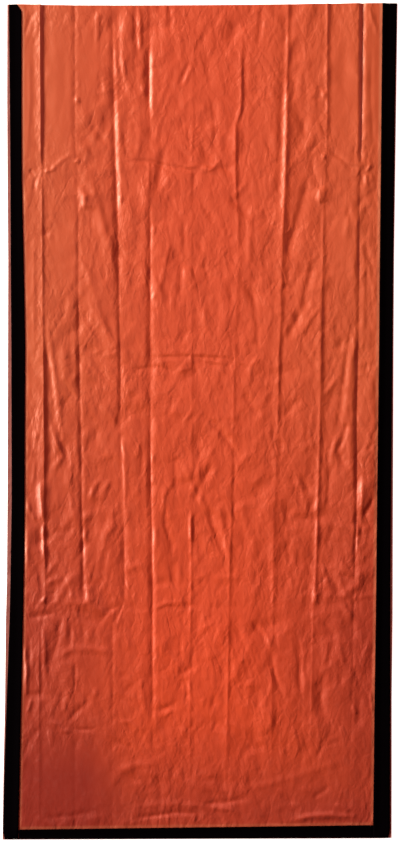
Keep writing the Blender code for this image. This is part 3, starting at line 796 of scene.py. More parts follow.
# mostly near the two sides of the head half, and in the foot corners
CALM = (
    Calm(-335, 790, 55, 200, 0.75),
    Calm(340, 790, 45, 200, 0.75),
    Calm(-260, 860, 40, 120, 0.6),
    Calm(-300, -850, 160, 130, 0.8),
    Calm(300, -840, 110, 100, 0.4),
    Calm(-320, 400, 40, 110, 0.5),
    Calm(330, 420, 35, 110, 0.5),
    Calm(-250, -600, 45, 60, 0.6),
    Calm(412, 800, 32, 230, 0.8),
    Calm(-228, 480, 34, 80, 0.7),
    Calm(240, 520, 34, 80, 0.5),
    Calm(-335, -130, 38, 70, 0.4),
    Calm(-408, 790, 26, 220, 0.7),
    Calm(-408, 280, 24, 240, 0.5),
)


def crumpling_left(x: np.ndarray, y: np.ndarray) -> np.ndarray:
    """Share of the crumpling that is left at each place, 1 away from the calm areas.

    Args:
        x: X of each place, in millimetres.
        y: Y of each place.

    Returns:
        The share at each place.
    """
    left = np.ones_like(x, dtype=float)
    for area in CALM:
        away = np.hypot((x - area.x) / area.half_width, (y - area.y) / area.half_length)
        left *= 1.0 - area.share * ease(CALM_EDGE * (1.0 - away))
    return left


@dataclass(frozen=True)
class Crumple:
    """One family of small, random creases.

    Sizes are in millimetres, and every range is drawn from evenly.  Turn and bend are how far the
    creases vary in direction, in radians, and in straightness.  Crosswise is the share of them that
    lie across the bag.
    """

    seed: int
    count: int
    half_length: tuple[float, float]
    steep: tuple[float, float]
    gentle: tuple[float, float]
    lift: float
    bow: float
    turn: float = 0.48
    bend: float = 0.12
    fade: float = 0.5
    crosswise: float = 0.22
    reach: tuple[float, float] = (430.0, 985.0)

    def press(self, relief: Relief) -> None:
        """Press every crease of the family into a sheet.

        Args:
            relief: the sheet, whose heights change.
        """
        chance = np.random.default_rng(self.seed)
        for _ in range(self.count):
            x = chance.uniform(-self.reach[0], self.reach[0])
            y = chance.uniform(-self.reach[1], self.reach[1])
            turn = chance.normal(0.0, self.turn)
            if chance.random() < self.crosswise:
                turn += math.pi / 2.0
            length = chance.uniform(*self.half_length)
            flanks = (chance.uniform(*self.steep), chance.uniform(*self.gentle))
            left, right = flanks if chance.random() < 0.5 else flanks[::-1]
            left_here = float(crumpling_left(np.array(x), np.array(y)))
            lift = chance.normal(0.0, self.lift) * left_here
            bend = chance.normal(0.0, self.bend)
            dx, dy = math.sin(turn) * length, math.cos(turn) * length
            middle = (x + bend * dy, y - bend * dx)
            line = ((x - dx, y - dy), middle, (x + dx, y + dy))
            Crease(line, lift, left, right, self.fade, self.bow).press(relief)


# from broad and soft to short and sharp
CRUMPLES = (
    Crumple(11, 520, (25.0, 80.0), (14.0, 26.0), (20.0, 42.0), lift=1.12, bow=1.25),
    Crumple(23, 1000, (14.0, 45.0), (6.5, 11.0), (10.0, 20.0), lift=0.85, bow=1.1),
    Crumple(37, 1200, (8.0, 24.0), (5.0, 8.0), (6.0, 11.0), lift=0.42, bow=1.1),
)


# --- Finishes ------------------------------------------------------------------
Value = bpy.types.NodeSocket | tuple[float, ...] | float    # what a node's input can be given


class NodeTree:
    """A material's nodes, added and linked by name."""

    def __init__(self, name: str) -> None:
        """Start a material that holds only its output and a principled shader.

        Args:
            name: the material's name.
        """
        self.material = bpy.data.materials.new(name)
        self.material.use_nodes = True
        self.nodes = self.material.node_tree.nodes
        self.links = self.material.node_tree.links
        self.shader = self.nodes["Principled BSDF"]

    def add(self, kind: str, **settings: object) -> bpy.types.Node:
        """Add a node.

        Args:
            kind: the node's type, without its "ShaderNode" start.
            settings: values of its properties and, by name, of its inputs.

        Returns:
            The node.
        """
        node = self.nodes.new("ShaderNode" + kind)
        for name, value in settings.items():
            if hasattr(node, name):
                setattr(node, name, value)
            else:
                node.inputs[name.replace("_", " ").title()].default_value = value
        return node

    def link(self, start: bpy.types.NodeSocket, end: bpy.types.NodeSocket) -> None:
        """Join two sockets."""
        self.links.new(start, end)

    def feed(self, value: Value, end: bpy.types.NodeSocket) -> None:
        """Link a socket to an input, or set the input to a plain value.

        Args:
            value: a socket, a colour or a number.
            end: the input.
        """
        if isinstance(value, bpy.types.NodeSocket):
            self.link(value, end)
        elif isinstance(value, tuple):
            end.default_value = (*value, 1.0)
        else:
            end.default_value = value

    def math(self, operation: str, *values: Value) -> bpy.types.NodeSocket:
        """The result of an operation on sockets or numbers.

        Args:
            operation: the Math node's operation.
            values: its inputs, in order.

        Returns:
            The result.
        """
        node = self.add("Math", operation=operation)
        for value, end in zip(values, node.inputs):
            self.feed(value, end)
        return node.outputs["Value"]

    def ramp(self, value: bpy.types.NodeSocket, start: float, stop: float,
             low: float = 0.0, high: float = 1.0) -> bpy.types.NodeSocket:
        """A value that goes from low to high while another goes from start to stop.

        Args:
            value: the other value.
            start: where it starts.
            stop: where it stops.
            low: the result up to the start.
            high: the result from the stop on.

        Returns:
            The result.
        """
        node = self.add("MapRange", from_min=start, from_max=stop, to_min=low, to_max=high)
        self.link(value, node.inputs["Value"])
        return node.outputs["Result"]

    def mix(self, first: Value, second: Value, share: bpy.types.NodeSocket) -> bpy.types.NodeSocket:
        """A colour between two colours.

        Args:
            first: the colour at a share of 0, or its socket.
            second: the colour at a share of 1, or its socket.
            share: how much of the second colour shows.

        Returns:
            The mixed colour.
        """
        node = self.add("Mix", data_type="RGBA")
        self.link(share, node.inputs["Factor"])
        self.feed(first, node.inputs["A"])
        self.feed(second, node.inputs["B"])
        return node.outputs["Result"]


@dataclass(frozen=True)
class FineCreases:
    """A layer of creases too fine for the sheet's own points.

    Scale is lumps to a metre, long is how many times longer than wide they are, turn is in degrees
    and depth in metres.
    """

    scale: float
    long: float
    turn: float
    depth: float
    detail: float = 1.5
    roughness: float = 0.5
    distortion: float = 0.6


@dataclass(frozen=True)
class FilmFinish:
    """Thin tinted plastic film over a metallised layer: satin, finely crinkled.

    Light is painted into the film's colour: a painted golden sheen near the sides of the head half,
    a painted pool of light that makes the middle of the foot half brighter red, and painted shade
    that makes it darker and deeper red at the foot, beside the seams of the foot half and most in
    the left foot corner.  A painted pale highlight follows the welded seams.  Seen along its surface
    the film turns duller.  Places are in metres.
    """

    name: str = "orange_film_finish"
    middle: tuple[float, float, float] = (0.60, 0.063, 0.0115)
    # painted sheen: paler, golden film near the sides of the head half
    painted_sheen: tuple[float, float, float] = (0.54, 0.081, 0.020)
    # painted pool of light: brighter red film along the middle of the foot half
    painted_light_pool: tuple[float, float, float] = (0.65, 0.059, 0.010)
    # painted shade: darker, deeper red film at the foot and beside the seams of the foot half
    painted_shade: tuple[float, float, float] = (0.37, 0.029, 0.011)
    # painted shade: the darkest film, in the left foot corner
    painted_corner_shade: tuple[float, float, float] = (0.31, 0.016, 0.005)
    # painted highlight: a pale line on the film along the tapes' inner edges
    seam_highlight: tuple[float, float, float] = (0.57, 0.155, 0.075)
    cut_edge: tuple[float, float, float] = (0.33, 0.100, 0.095)
    highlight_fade: tuple[float, float, float, float] = (-1.4, 1.0, 0.2, 1.0)    # Y, Y, share, share
    side_reach: tuple[float, float] = (0.08, 0.38)       # from the middle line to the sides
    head_reach: tuple[float, float] = (-0.50, 0.15)      # from the foot half to the head half
    foot_reach: tuple[float, float] = (-0.68, -0.92)     # to the foot
    corner_across: tuple[float, float] = (-0.17, -0.27)  # to the left foot corner
    corner_along: tuple[float, float] = (-0.66, -0.84)
    side_shade_share: float = 0.8          # how strong the painted shade beside the seams of the foot half is
    middle_shade_share: float = 0.8        # how strong it is at the middle of the foot
    metallic: float = 0.12
    roughness: float = 0.5
    specular: float = 0.9
    coat: float = 0.3
    coat_roughness: float = 0.32
    gloss_band: tuple[float, float] = (0.0, 0.3)         # height of the finest creases
    gloss_range: tuple[float, float] = (-0.04, 0.05)     # what it adds to the roughness
    dull_band: tuple[float, float] = (0.3, 0.62)         # 0 seen square on, 1 seen along the film
    dulled_by: float = 0.4                               # what that adds to the roughness
    facet_scale: float = 30.0        # facets to a metre
    facet_depth: float = 0.0015
    facet_roughness: float = 0.45
    facet_stretch: tuple[float, float, float] = (1.0, 0.5, 1.0)
    warp_scale: float = 18.0
    warp: float = 0.02
    patch_scale: float = 7.0         # more and less crinkled patches to a metre
    patch_band: tuple[float, float] = (0.36, 0.64)
    least_ruffle: float = 0.6
    fine_creases: tuple[FineCreases, ...] = (
        FineCreases(26.0, 3.0, 17.0, 0.0030),
        FineCreases(31.0, 2.8, -21.0, 0.0027),
        FineCreases(72.0, 1.6, 5.0, 0.0014),
    )

    def tint(self, tree: NodeTree, place: bpy.types.NodeSocket) -> bpy.types.NodeSocket:
        """The film's colour from place to place, with painted sheen, light, shade and highlight.

        Args:
            tree: the material's nodes.
            place: the object coordinates.

        Returns:
            The colour.
        """
        axes = tree.add("SeparateXYZ")
        tree.link(place, axes.inputs["Vector"])
        side = tree.ramp(tree.math("ABSOLUTE", axes.outputs["X"]), *self.side_reach)
        head = tree.ramp(axes.outputs["Y"], *self.head_reach)
        foot = tree.ramp(axes.outputs["Y"], *self.foot_reach)
        below = tree.math("SUBTRACT", 1.0, head)
        # painted shade beside the seams of the foot half
        side_shade = tree.math("MULTIPLY", tree.math("MULTIPLY", side, below), self.side_shade_share)
        # painted pool of light along the middle of the foot half, fading toward the sides
        light_pool_share = tree.math("MULTIPLY", tree.ramp(axes.outputs["Y"], *reversed(self.head_reach)), below)
        # painted golden sheen near the sides of the head half
        sheen_and_pool = tree.mix(self.middle, self.painted_sheen, tree.math("MULTIPLY", side, head))
        sheen_and_pool = tree.mix(sheen_and_pool, self.painted_light_pool, tree.math("MULTIPLY", light_pool_share, tree.math("SUBTRACT", 1.0, side)))
        # painted shade toward the foot, a little weaker at its middle, and beside the seams
        spread = tree.ramp(side, 0.0, 1.0, self.middle_shade_share, 1.0)
        film = tree.mix(sheen_and_pool, self.painted_shade, tree.math("MAXIMUM", tree.math("MULTIPLY", foot, spread), side_shade))
        # painted shade in the left foot corner
        left = tree.ramp(axes.outputs["X"], *self.corner_across)
        low = tree.ramp(axes.outputs["Y"], *self.corner_along)
        film = tree.mix(film, self.painted_corner_shade, tree.math("MULTIPLY", left, low))
        # painted pale highlight along the seams, weaker toward the foot
        highlight_mark = tree.add("Attribute", attribute_name="seam_highlight")
        along = tree.ramp(axes.outputs["Y"], *self.highlight_fade)
        film = tree.mix(film, self.seam_highlight, tree.math("MULTIPLY", highlight_mark.outputs["Fac"], along))
        beyond = tree.add("Attribute", attribute_name="beyond")
        return tree.mix(film, self.cut_edge, beyond.outputs["Fac"])

    def folded(self, tree: NodeTree, place: bpy.types.NodeSocket,
               lines: FineCreases) -> bpy.types.NodeSocket:
        """A pattern of sharp creases with soft film between them, drawn out one way.

        Args:
            tree: the material's nodes.
            place: the object coordinates.
            lines: the creases' size and direction.

        Returns:
            The height, 0 in the creases.
        """
        turned = tree.add("Mapping", vector_type="TEXTURE")
        turned.inputs["Rotation"].default_value = (0.0, 0.0, math.radians(lines.turn))
        turned.inputs["Scale"].default_value = (1.0, lines.long, 1.0)
        tree.link(place, turned.inputs["Vector"])
        lumps = tree.add("TexNoise", scale=lines.scale, detail=lines.detail,
                         roughness=lines.roughness, distortion=lines.distortion)
        tree.link(turned.outputs["Vector"], lumps.inputs["Vector"])
        return tree.math("ABSOLUTE", tree.math("SUBTRACT", lumps.outputs["Fac"], 0.5))

    def faceted(self, tree: NodeTree, place: bpy.types.NodeSocket) -> bpy.types.NodeSocket:
        """A pattern of small facets that meet along creases, at several sizes.

        Args:
            tree: the material's nodes.
            place: the object coordinates.

        Returns:
            The height.
        """
        warp = tree.add("TexNoise", scale=self.warp_scale, detail=1.0)
        tree.link(place, warp.inputs["Vector"])
        shift = tree.add("VectorMath", operation="MULTIPLY_ADD")
        tree.link(warp.outputs["Color"], shift.inputs[0])
        shift.inputs[1].default_value = (self.warp, self.warp, self.warp)
        tree.link(place, shift.inputs[2])
        stretched = tree.add("Mapping")
        stretched.inputs["Scale"].default_value = self.facet_stretch
        tree.link(shift.outputs["Vector"], stretched.inputs["Vector"])
        cells = tree.add("TexVoronoi", scale=self.facet_scale, detail=2.0, roughness=self.facet_roughness)
        tree.link(stretched.outputs["Vector"], cells.inputs["Vector"])
        return cells.outputs["Distance"]

    def ruffle(self, tree: NodeTree, place: bpy.types.NodeSocket) -> bpy.types.NodeSocket:
        """How strongly the film is crinkled from place to place, in patches.

        Args:
            tree: the material's nodes.
            place: the object coordinates.

        Returns:
            The strength, 1 where the film is crinkled most.
        """
        patches = tree.add("TexNoise", scale=self.patch_scale, detail=1.0)
        tree.link(place, patches.inputs["Vector"])
        strength = tree.ramp(patches.outputs["Fac"], *self.patch_band, self.least_ruffle, 1.0)
        calm = tree.add("Attribute", attribute_name="calm")
        return tree.math("MULTIPLY", strength, tree.math("SUBTRACT", 1.0, calm.outputs["Fac"]))

    def build(self) -> bpy.types.Material:
        """Make the material.

        Returns:
            The material.
        """
        tree = NodeTree(self.name)
        shader = tree.shader
        shader.inputs["Metallic"].default_value = self.metallic
        shader.inputs["Specular IOR Level"].default_value = self.specular
        shader.inputs["Coat Roughness"].default_value = self.coat_roughness
        place = tree.add("TexCoord").outputs["Object"]
        tree.link(self.tint(tree, place), shader.inputs["Base Color"])
        ruffle = self.ruffle(tree, place)
        heights = [(self.faceted(tree, place), self.facet_depth)]
        heights += [(self.folded(tree, place, lines), lines.depth) for lines in self.fine_creases]
        normal = None
        for height, depth in heights:
            bump = tree.add("Bump", distance=depth)
            tree.link(ruffle, bump.inputs["Strength"])
            tree.link(height, bump.inputs["Height"])
            if normal is not None:
                tree.link(normal, bump.inputs["Normal"])
            normal = bump.outputs["Normal"]
        tree.link(normal, shader.inputs["Normal"])
        finest = heights[-1][0]
        least, most = (self.roughness + change for change in self.gloss_range)
        gloss = tree.ramp(finest, *self.gloss_band, least, most)
        facing = tree.add("LayerWeight", blend=0.5).outputs["Facing"]
        glance = tree.ramp(facing, *self.dull_band, 0.0, self.dulled_by)
        tree.link(tree.math("ADD", gloss, glance), shader.inputs["Roughness"])
        tree.link(tree.ramp(facing, *self.dull_band, self.coat, 0.0), shader.inputs["Coat Weight"])
        return tree.material


@dataclass(frozen=True)
class TapeFinish:
    """Matt black tape with a fine grain."""

    name: str = "black_tape_finish"
    colour: tuple[float, float, float] = (0.0012, 0.0007, 0.0011)
    roughness: float = 0.75
    grain: float = 900.0             # lumps to a metre
    grain_detail: float = 2.0
    grain_roughness: float = 0.6
    tint_range: tuple[float, float] = (0.6, 1.6)         # of the colour, from grain to grain
    roughness_range: float = 0.1
    bump_strength: float = 0.4
    bump_depth: float = 0.0002

    def build(self) -> bpy.types.Material:
        """Make the material.

        Returns:
            The material.
        """
        tree = NodeTree(self.name)
        shader = tree.shader
        shader.inputs["Specular IOR Level"].default_value = 0.0
        place = tree.add("TexCoord")
        noise = tree.add("TexNoise", scale=self.grain, detail=self.grain_detail,
                         roughness=self.grain_roughness)
        tree.link(place.outputs["Object"], noise.inputs["Vector"])
        grain = noise.outputs["Fac"]
        dark, light = (tuple(c * share for c in self.colour) for share in self.tint_range)
        tree.link(tree.mix(dark, light, grain), shader.inputs["Base Color"])
        least, most = self.roughness - self.roughness_range, self.roughness + self.roughness_range
        tree.link(tree.ramp(grain, 0.0, 1.0, least, most), shader.inputs["Roughness"])
        bump = tree.add("Bump", strength=self.bump_strength, distance=self.bump_depth)
        tree.link(grain, bump.inputs["Height"])
        tree.link(bump.outputs["Normal"], shader.inputs["Normal"])
        return tree.material


@dataclass(frozen=True)
class FloorFinish:
    """A plain white studio floor that glows, so that it stays white far from the lights."""

    name: str = "studio_floor_finish"
    colour: tuple[float, float, float] = (0.92, 0.92, 0.92)
    roughness: float = 0.9
    glow: float = 1.0

    def build(self) -> bpy.types.Material:
        """Make the material.

        Returns:
            The material.
        """
        tree = NodeTree(self.name)
        shader = tree.shader
        shader.inputs["Base Color"].default_value = (*self.colour, 1.0)
        shader.inputs["Roughness"].default_value = self.roughness
        shader.inputs["Specular IOR Level"].default_value = 0.0
        shader.inputs["Emission Color"].default_value = (1.0, 1.0, 1.0, 1.0)
        shader.inputs["Emission Strength"].default_value = self.glow
        return tree.material


# --- Pieces --------------------------------------------------------------------
def grid_object(name: str, x: np.ndarray, y: np.ndarray, z: np.ndarray) -> bpy.types.Object:
    """Make a sheet whose points lie at the given places, in metres.

    Args:
        name: the piece's name.
        x: X of every point, rows by columns.
        y: Y of every point.
        z: height of every point.

    Returns:
        The piece, with its faces pointing up.
    """
    rows, columns = x.shape
    mesh = bmesh.new()
    bmesh.ops.create_grid(mesh, x_segments=columns - 1, y_segments=rows - 1, size=1.0)
    for vert in mesh.verts:
        column = round((vert.co.x + 1.0) / 2.0 * (columns - 1))
        row = round((vert.co.y + 1.0) / 2.0 * (rows - 1))
        vert.co = (x[row, column], y[row, column], z[row, column])
    for face in mesh.faces:
        face.smooth = True
    data = bpy.data.meshes.new(name)
    mesh.to_mesh(data)
    mesh.free()
    piece = bpy.data.objects.new(name, data)
    bpy.context.scene.collection.objects.link(piece)
    return piece


@dataclass
class FrontPanel:
    """The creased panel that shows, one unbroken sheet from edge to edge."""

    plan: Plan
    margin_columns: int = 5          # between the cut edge and a side seam
    strip_columns: int = 24          # between two folds
    rows: int = 380
    foot_rows: int = 4               # of them, under the foot tape
    loft: float = 6.8                # mm, height of the film inside the bag
    edge: float = 1.6                # mm, height of the film's cut edge
    seam: float = 6.2                # mm, height of the film at a tape's inner edge
    rim_rise: float = 48.0           # mm from a side tape to where the film reaches its loft
    rim_bow: float = 1.6             # above 1, it rises fastest at the tape
    foot_rise: float = 70.0          # mm from the foot tape to where the film reaches its loft
    foot_bow: float = 2.0
    tuck: float = 15.0               # mm past a tape's inner edge to where the film is at its edge height
    calm: float = 11.0               # mm from a tape to where the creases have their full height
    seam_highlight: tuple[float, float] = (3.5, 9.0)  # mm from a tape, where the painted pale highlight along the seam ends
    cut: tuple[float, float] = (18.0, 21.5)  # mm past a tape's inner edge, where the cut edge starts
    floor: float = 1.3               # mm, the lowest the film may lie
    dense: tuple[float, ...] = (600.0, 150.0, -440.0, -725.0, -930.0)  # mm, Y of the cross folds
    dense_rows: float = 0.8          # how many more rows lie there, for each row elsewhere
    dense_reach: float = 0.035       # metres to both sides of a cross fold
    level_steps: int = 2000
    gather: float = 0.45             # how strongly the columns gather at the folds

    def lines(self, y: np.ndarray) -> list[np.ndarray]:
        """X of the sheet's edges, seams and folds, left to right.

        Args:
            y: Y of each row, in metres.

        Returns:
            The X of each line at each row, in metres.
        """
        folds = [f.x_at(y / MM) * MM for f in FOLDS if f.leads]
        left = [self.plan.film_x(y, Side.LEFT), self.plan.seam_x(y, Side.LEFT)]
        right = [self.plan.seam_x(y, Side.RIGHT), self.plan.film_x(y, Side.RIGHT)]
        return [*left, *folds, *right]

    def levels(self, low: float, high: float, count: int) -> np.ndarray:
        """Y of the rows, which lie closer together at the cross folds.

        Args:
            low: Y of the first row, in metres.
            high: Y of the last row.
            count: how many rows there are.

        Returns:
            The Y of each row.
        """
        steps = np.linspace(low, high, self.level_steps)
        weight = np.ones_like(steps)
        for place in self.dense:
            weight += self.dense_rows * np.exp(-(((steps - place * MM) / self.dense_reach) ** 2))
        travel = np.concatenate([[0.0], np.cumsum(weight[1:] + weight[:-1])])
        return np.interp(np.linspace(0.0, travel[-1], count), travel, steps)

    def plan_grid(self) -> tuple[np.ndarray, np.ndarray]:
        """Where the sheet's points lie in plan.

        Returns:
            X and Y in metres of every point, each rows by columns.
        """
        seam = float(self.plan.foot_seam_y(0.0))
        mouth = float(self.plan.mouth_y(0.0))
        foot = float(self.plan.foot_y(0.0))
        inner = self.levels(seam, mouth, self.rows - self.foot_rows)
        outer = np.linspace(foot, seam, self.foot_rows + 1)[:-1]
        levels = np.concatenate([outer, inner])
        lines = self.lines(levels)
        columns = []
        for number, (start, end) in enumerate(zip(lines[:-1], lines[1:])):
            in_margin = number in (0, len(lines) - 2)
            count = self.margin_columns if in_margin else self.strip_columns
            share = np.arange(count) / count
            gathered = 0.5 - 0.5 * np.cos(math.pi * share)
            share = (1.0 - self.gather) * share + self.gather * gathered
            columns.append(start[:, None] + (end - start)[:, None] * share[None, :])
        columns.append(lines[-1][:, None])
        x = np.concatenate(columns, axis=1)
        low, seam_y, high = self.plan.foot_y(x), self.plan.foot_seam_y(x), self.plan.mouth_y(x)
        rise = ((levels - seam) / (mouth - seam))[:, None]
        drop = ((levels - foot) / (seam - foot))[:, None]
        y = np.where(rise >= 0.0, seam_y + (high - seam_y) * rise, low + (seam_y - low) * drop)
        return x, y

    def inward(self, x: np.ndarray, y: np.ndarray) -> tuple[np.ndarray, np.ndarray]:
        """How far inside the tapes each point is.

        Args:
            x: X of each point, in metres.
            y: Y of each point.

        Returns:
            Millimetres from the nearer side tape and from the foot tape, below 0 under the tape.
        """
        left = (x - self.plan.seam_x(y, Side.LEFT)) / MM
        right = (self.plan.seam_x(y, Side.RIGHT) - x) / MM
        return np.minimum(left, right), (y - self.plan.foot_seam_y(x)) / MM

    def base(self, x: np.ndarray, y: np.ndarray) -> np.ndarray:
        """Height of the film before it is creased.

        Args:
            x: X of each point, in metres.
            y: Y of each point.

        Returns:
            The height of each point, in millimetres.
        """
        side, foot = self.inward(x, y)
        rise = 1.0 - np.clip(1.0 - side / self.rim_rise, 0.0, 1.0) ** self.rim_bow
        rise *= 1.0 - np.clip(1.0 - foot / self.foot_rise, 0.0, 1.0) ** self.foot_bow
        under = np.clip(-np.minimum(side, foot) / self.tuck, 0.0, 1.0)
        return self.seam + (self.loft - self.seam) * rise - (self.seam - self.edge) * under

    def relief(self) -> Relief:
        """Press every crease into the sheet.

        Returns:
            The sheet.
        """
        x, y = self.plan_grid()
        relief = Relief(x / MM, y / MM, np.zeros_like(x))
        for fold in FOLDS:
            fold.press(relief)
        for crease in SIDE_CREASES:
            crease.scaled(CREASE_SCALE).press(relief)
            crease.scaled(CREASE_SCALE).mirrored().press(relief)
        for crease in (*MIDDLE_CREASES, *FOOT_CREASES):
            crease.scaled(CREASE_SCALE).press(relief)
        for crease in (*GLINTS, *BROAD_SLOPES):
            crease.press(relief)
        for dimple in DIMPLES:
            dimple.press(relief)
        for family in CRUMPLES:
            family.press(relief)
        side, foot = self.inward(x, y)
        relief.z *= ease(np.minimum(side, foot) / self.calm)
        relief.z = np.maximum(relief.z + self.base(x, y), self.floor)
        log.info("front panel: lowest %.2f, highest %.2f mm", relief.z.min(), relief.z.max())
        return relief

    def mark(self, piece: bpy.types.Object, name: str, values: np.ndarray) -> None:
        """Write a number at every point of the sheet, for the finish to read."""
        marks = piece.data.attributes.new(name, "FLOAT", "POINT")
        marks.data.foreach_set("value", values.ravel().astype(np.float32))

    def build(self, finish: bpy.types.Material) -> bpy.types.Object:
        """Make the panel and dress it.

        Args:
            finish: the film's material.

        Returns:
            The panel.
        """
        relief = self.relief()
        piece = grid_object("front_panel", relief.x * MM, relief.y * MM, relief.z * MM)
        inside = np.minimum(*self.inward(relief.x * MM, relief.y * MM))
        # where the painted pale highlight along the seams shows
        past_highlight = ease((inside - self.seam_highlight[0]) / (self.seam_highlight[1] - self.seam_highlight[0]))
        past_tape = ease((-inside - self.cut[0]) / (self.cut[1] - self.cut[0]))
        self.mark(piece, "seam_highlight", 1.0 - past_highlight)
        self.mark(piece, "calm", 1.0 - crumpling_left(relief.x, relief.y))
        self.mark(piece, "beyond", past_tape)
        piece.data.materials.append(finish)
        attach(piece, BODY)
        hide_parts("front_film")
        return piece


@dataclass
class BackPanel:
    """The flat panel that lies on the ground."""

    plan: Plan
    columns: int = 60
    rows: int = 120
    top: float = 0.9          # mm, its thickness and the height of its upper face

    def build(self, finish: bpy.types.Material) -> bpy.types.Object:
        """Make the panel and dress it.

        Args:
            finish: the film's material.

        Returns:
            The panel.
        """
        levels = np.linspace(float(self.plan.foot_y(0.0)), float(self.plan.mouth_y(0.0)), self.rows)
        left = self.plan.film_x(levels, Side.LEFT)
        right = self.plan.film_x(levels, Side.RIGHT)
        share = np.linspace(0.0, 1.0, self.columns)
        x = left[:, None] + (right - left)[:, None] * share[None, :]
        low, high = self.plan.foot_y(x), self.plan.mouth_y(x)
        y = low + (high - low) * ((levels - levels[0]) / (levels[-1] - levels[0]))[:, None]
        piece = grid_object("back_panel", x, y, np.full_like(x, self.top * MM))
        piece.data.materials.append(finish)
        thickness = piece.modifiers.new("thickness", "SOLIDIFY")
        thickness.thickness = self.top * MM
        thickness.offset = -1.0
        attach(piece, BODY)
        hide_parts("back_film")
        return piece


@dataclass(frozen=True)
class Ripple:
    """One wave of a tape's height, in radians for each metre along and across the bag."""

    along: float
    across: float
    start: float
    share: float


@dataclass
class SeamTapes:
    """The three black tapes over the seams, each a thin strip that lies on the front panel."""

    plan: Plan
    panel: FrontPanel
    rows: int = 260
    columns: int = 9
    lift: float = 0.35        # mm that a tape stands off the film, before its wave
    wave: float = 0.25        # mm, the wave adds one to two times this
    swing: float = 0.3        # how much of the wave shows
    ripples: tuple[Ripple, ...] = (Ripple(31.0, 3.0, 0.0, 1.0), Ripple(83.0, 47.0, 1.3, 0.6))
    thickness: float = 0.8    # mm
    corner_gap: float = 0.0003    # metres between the foot tape and a side tape

    def strip(self, name: str, x: np.ndarray, y: np.ndarray) -> bpy.types.Object:
        """Lay a strip on the front panel.

        Args:
            name: the piece's name.
            x: X in metres of every point, rows by columns.
            y: Y in metres of every point.

        Returns:
            The strip, with its thickness still to come from a modifier.
        """
        ripple = sum(r.share * np.sin(r.along * y + r.across * x + r.start) for r in self.ripples)
        wave = self.wave * (1.0 + ease(0.5 + self.swing * self.wave * ripple))
        height = self.panel.base(x, y) + self.lift + wave
        tape = grid_object(name, x, y, height * MM)
        body = tape.modifiers.new("thickness", "SOLIDIFY")
        body.thickness = self.thickness * MM
        body.offset = 1.0
        return tape

    def side_strip(self, side: Side) -> bpy.types.Object:
        """The tape along one side, from the foot to the mouth.

        Args:
            side: the side of the bag.

        Returns:
            The tape.
        """
        steps = np.linspace(0.0, 1.0, self.rows)[:, None]
        middle = 0.5 * (self.plan.tape_x(np.zeros(1), side) + self.plan.seam_x(np.zeros(1), side))
        low, high = float(self.plan.foot_tape_y(middle)[0]), float(self.plan.mouth_y(middle)[0])
        levels = low + (high - low) * steps
        outer, inner = self.plan.tape_x(levels, side), self.plan.seam_x(levels, side)
        left, right = np.minimum(outer, inner), np.maximum(outer, inner)
        x = left + (right - left) * np.linspace(0.0, 1.0, self.columns)[None, :]
        low, high = self.plan.foot_tape_y(x), self.plan.mouth_y(x)
        return self.strip(f"{side.value}_seam_tape", x, low + (high - low) * steps)

    def foot_strip(self) -> bpy.types.Object:
        """The tape across the foot, between the side tapes.

        Returns:
            The tape.
        """
        steps = np.linspace(0.0, 1.0, self.columns)[:, None]
        level = np.full(1, float(self.plan.foot_seam_y(np.zeros(1))[0]))
        left = float(self.plan.seam_x(level, Side.LEFT)[0]) + self.corner_gap
        right = float(self.plan.seam_x(level, Side.RIGHT)[0]) - self.corner_gap
        x = np.linspace(left, right, self.rows)[None, :] + np.zeros_like(steps)
        low, high = self.plan.foot_tape_y(x), self.plan.foot_seam_y(x)
        return self.strip("foot_seam_tape", x, low + (high - low) * steps)

    def build(self, finish: bpy.types.Material) -> list[bpy.types.Object]:
        """Make the tapes and dress them.

        Args:
            finish: the tape's material.

        Returns:
            The left, the right and the foot tape.
        """
        tapes = [self.side_strip(Side.LEFT), self.side_strip(Side.RIGHT), self.foot_strip()]
        for tape, node in zip(tapes, ("left_tape", "right_tape", "foot_tape")):
            tape.data.materials.append(finish)
            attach(tape, BODY)
            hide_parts(node)
        return tapes


# --- Studio --------------------------------------------------------------------
@dataclass(frozen=True)
class SoftLight:
    """A soft studio light, in metres and watts."""

    name: str
    place: tuple[float, float, float]
    aim: tuple[float, float, float]
    size: float
    power: float
    spread: float = 180.0    # degrees, less where a grid narrows its beam
    length: float = 0.0      # 0 where it is as long as it is wide
    colour: tuple[float, float, float] = (1.0, 0.97, 0.77)

    def build(self) -> bpy.types.Object:
        """Hang the light.

        Returns:
            The light.
        """
        data = bpy.data.lights.new(self.name, "AREA")
        data.color = self.colour
        data.shape = "RECTANGLE"
        data.size = self.size
        data.size_y = self.length or self.size
        data.energy = self.power
        data.spread = math.radians(self.spread)
        light = bpy.data.objects.new(self.name, data)
        light.location = self.place
        light.visible_camera = False
        light.rotation_euler = (Vector(self.aim) - Vector(self.place)).to_track_quat("-Z", "Y").to_euler()
        bpy.context.scene.collection.objects.link(light)
        return light


BOUNCE = (1.0, 0.35, 0.27)    # colour of the light that the film throws back at itself

# two low keys from the left, and the soft light between the film's folds
LIGHTS = (
    SoftLight("key", (-21.0, 13.0, 9.2), (0.0, 0.0, 0.0), 6.0, 11600.0),
    SoftLight("side_key", (-24.6, 0.0, 9.8), (0.0, 0.0, 0.0), 6.0, 5000.0),
    SoftLight("fill", (3.6, 1.6, 2.0), (0.1, 0.1, 0.0), 1.6, 20.0, colour=BOUNCE),
    SoftLight("head", (0.0, 2.4, 3.0), (0.0, 0.4, 0.0), 1.4, 11.0, colour=BOUNCE),
    SoftLight("overhead", (0.0, 0.5, 3.2), (0.0, 0.1, 0.0), 1.4, 11.0, colour=BOUNCE),
    SoftLight("low_pool", (0.02, -0.62, 1.0), (0.02, -0.62, 0.0), 0.15, 0.06, 70.0, 0.5, BOUNCE),
)


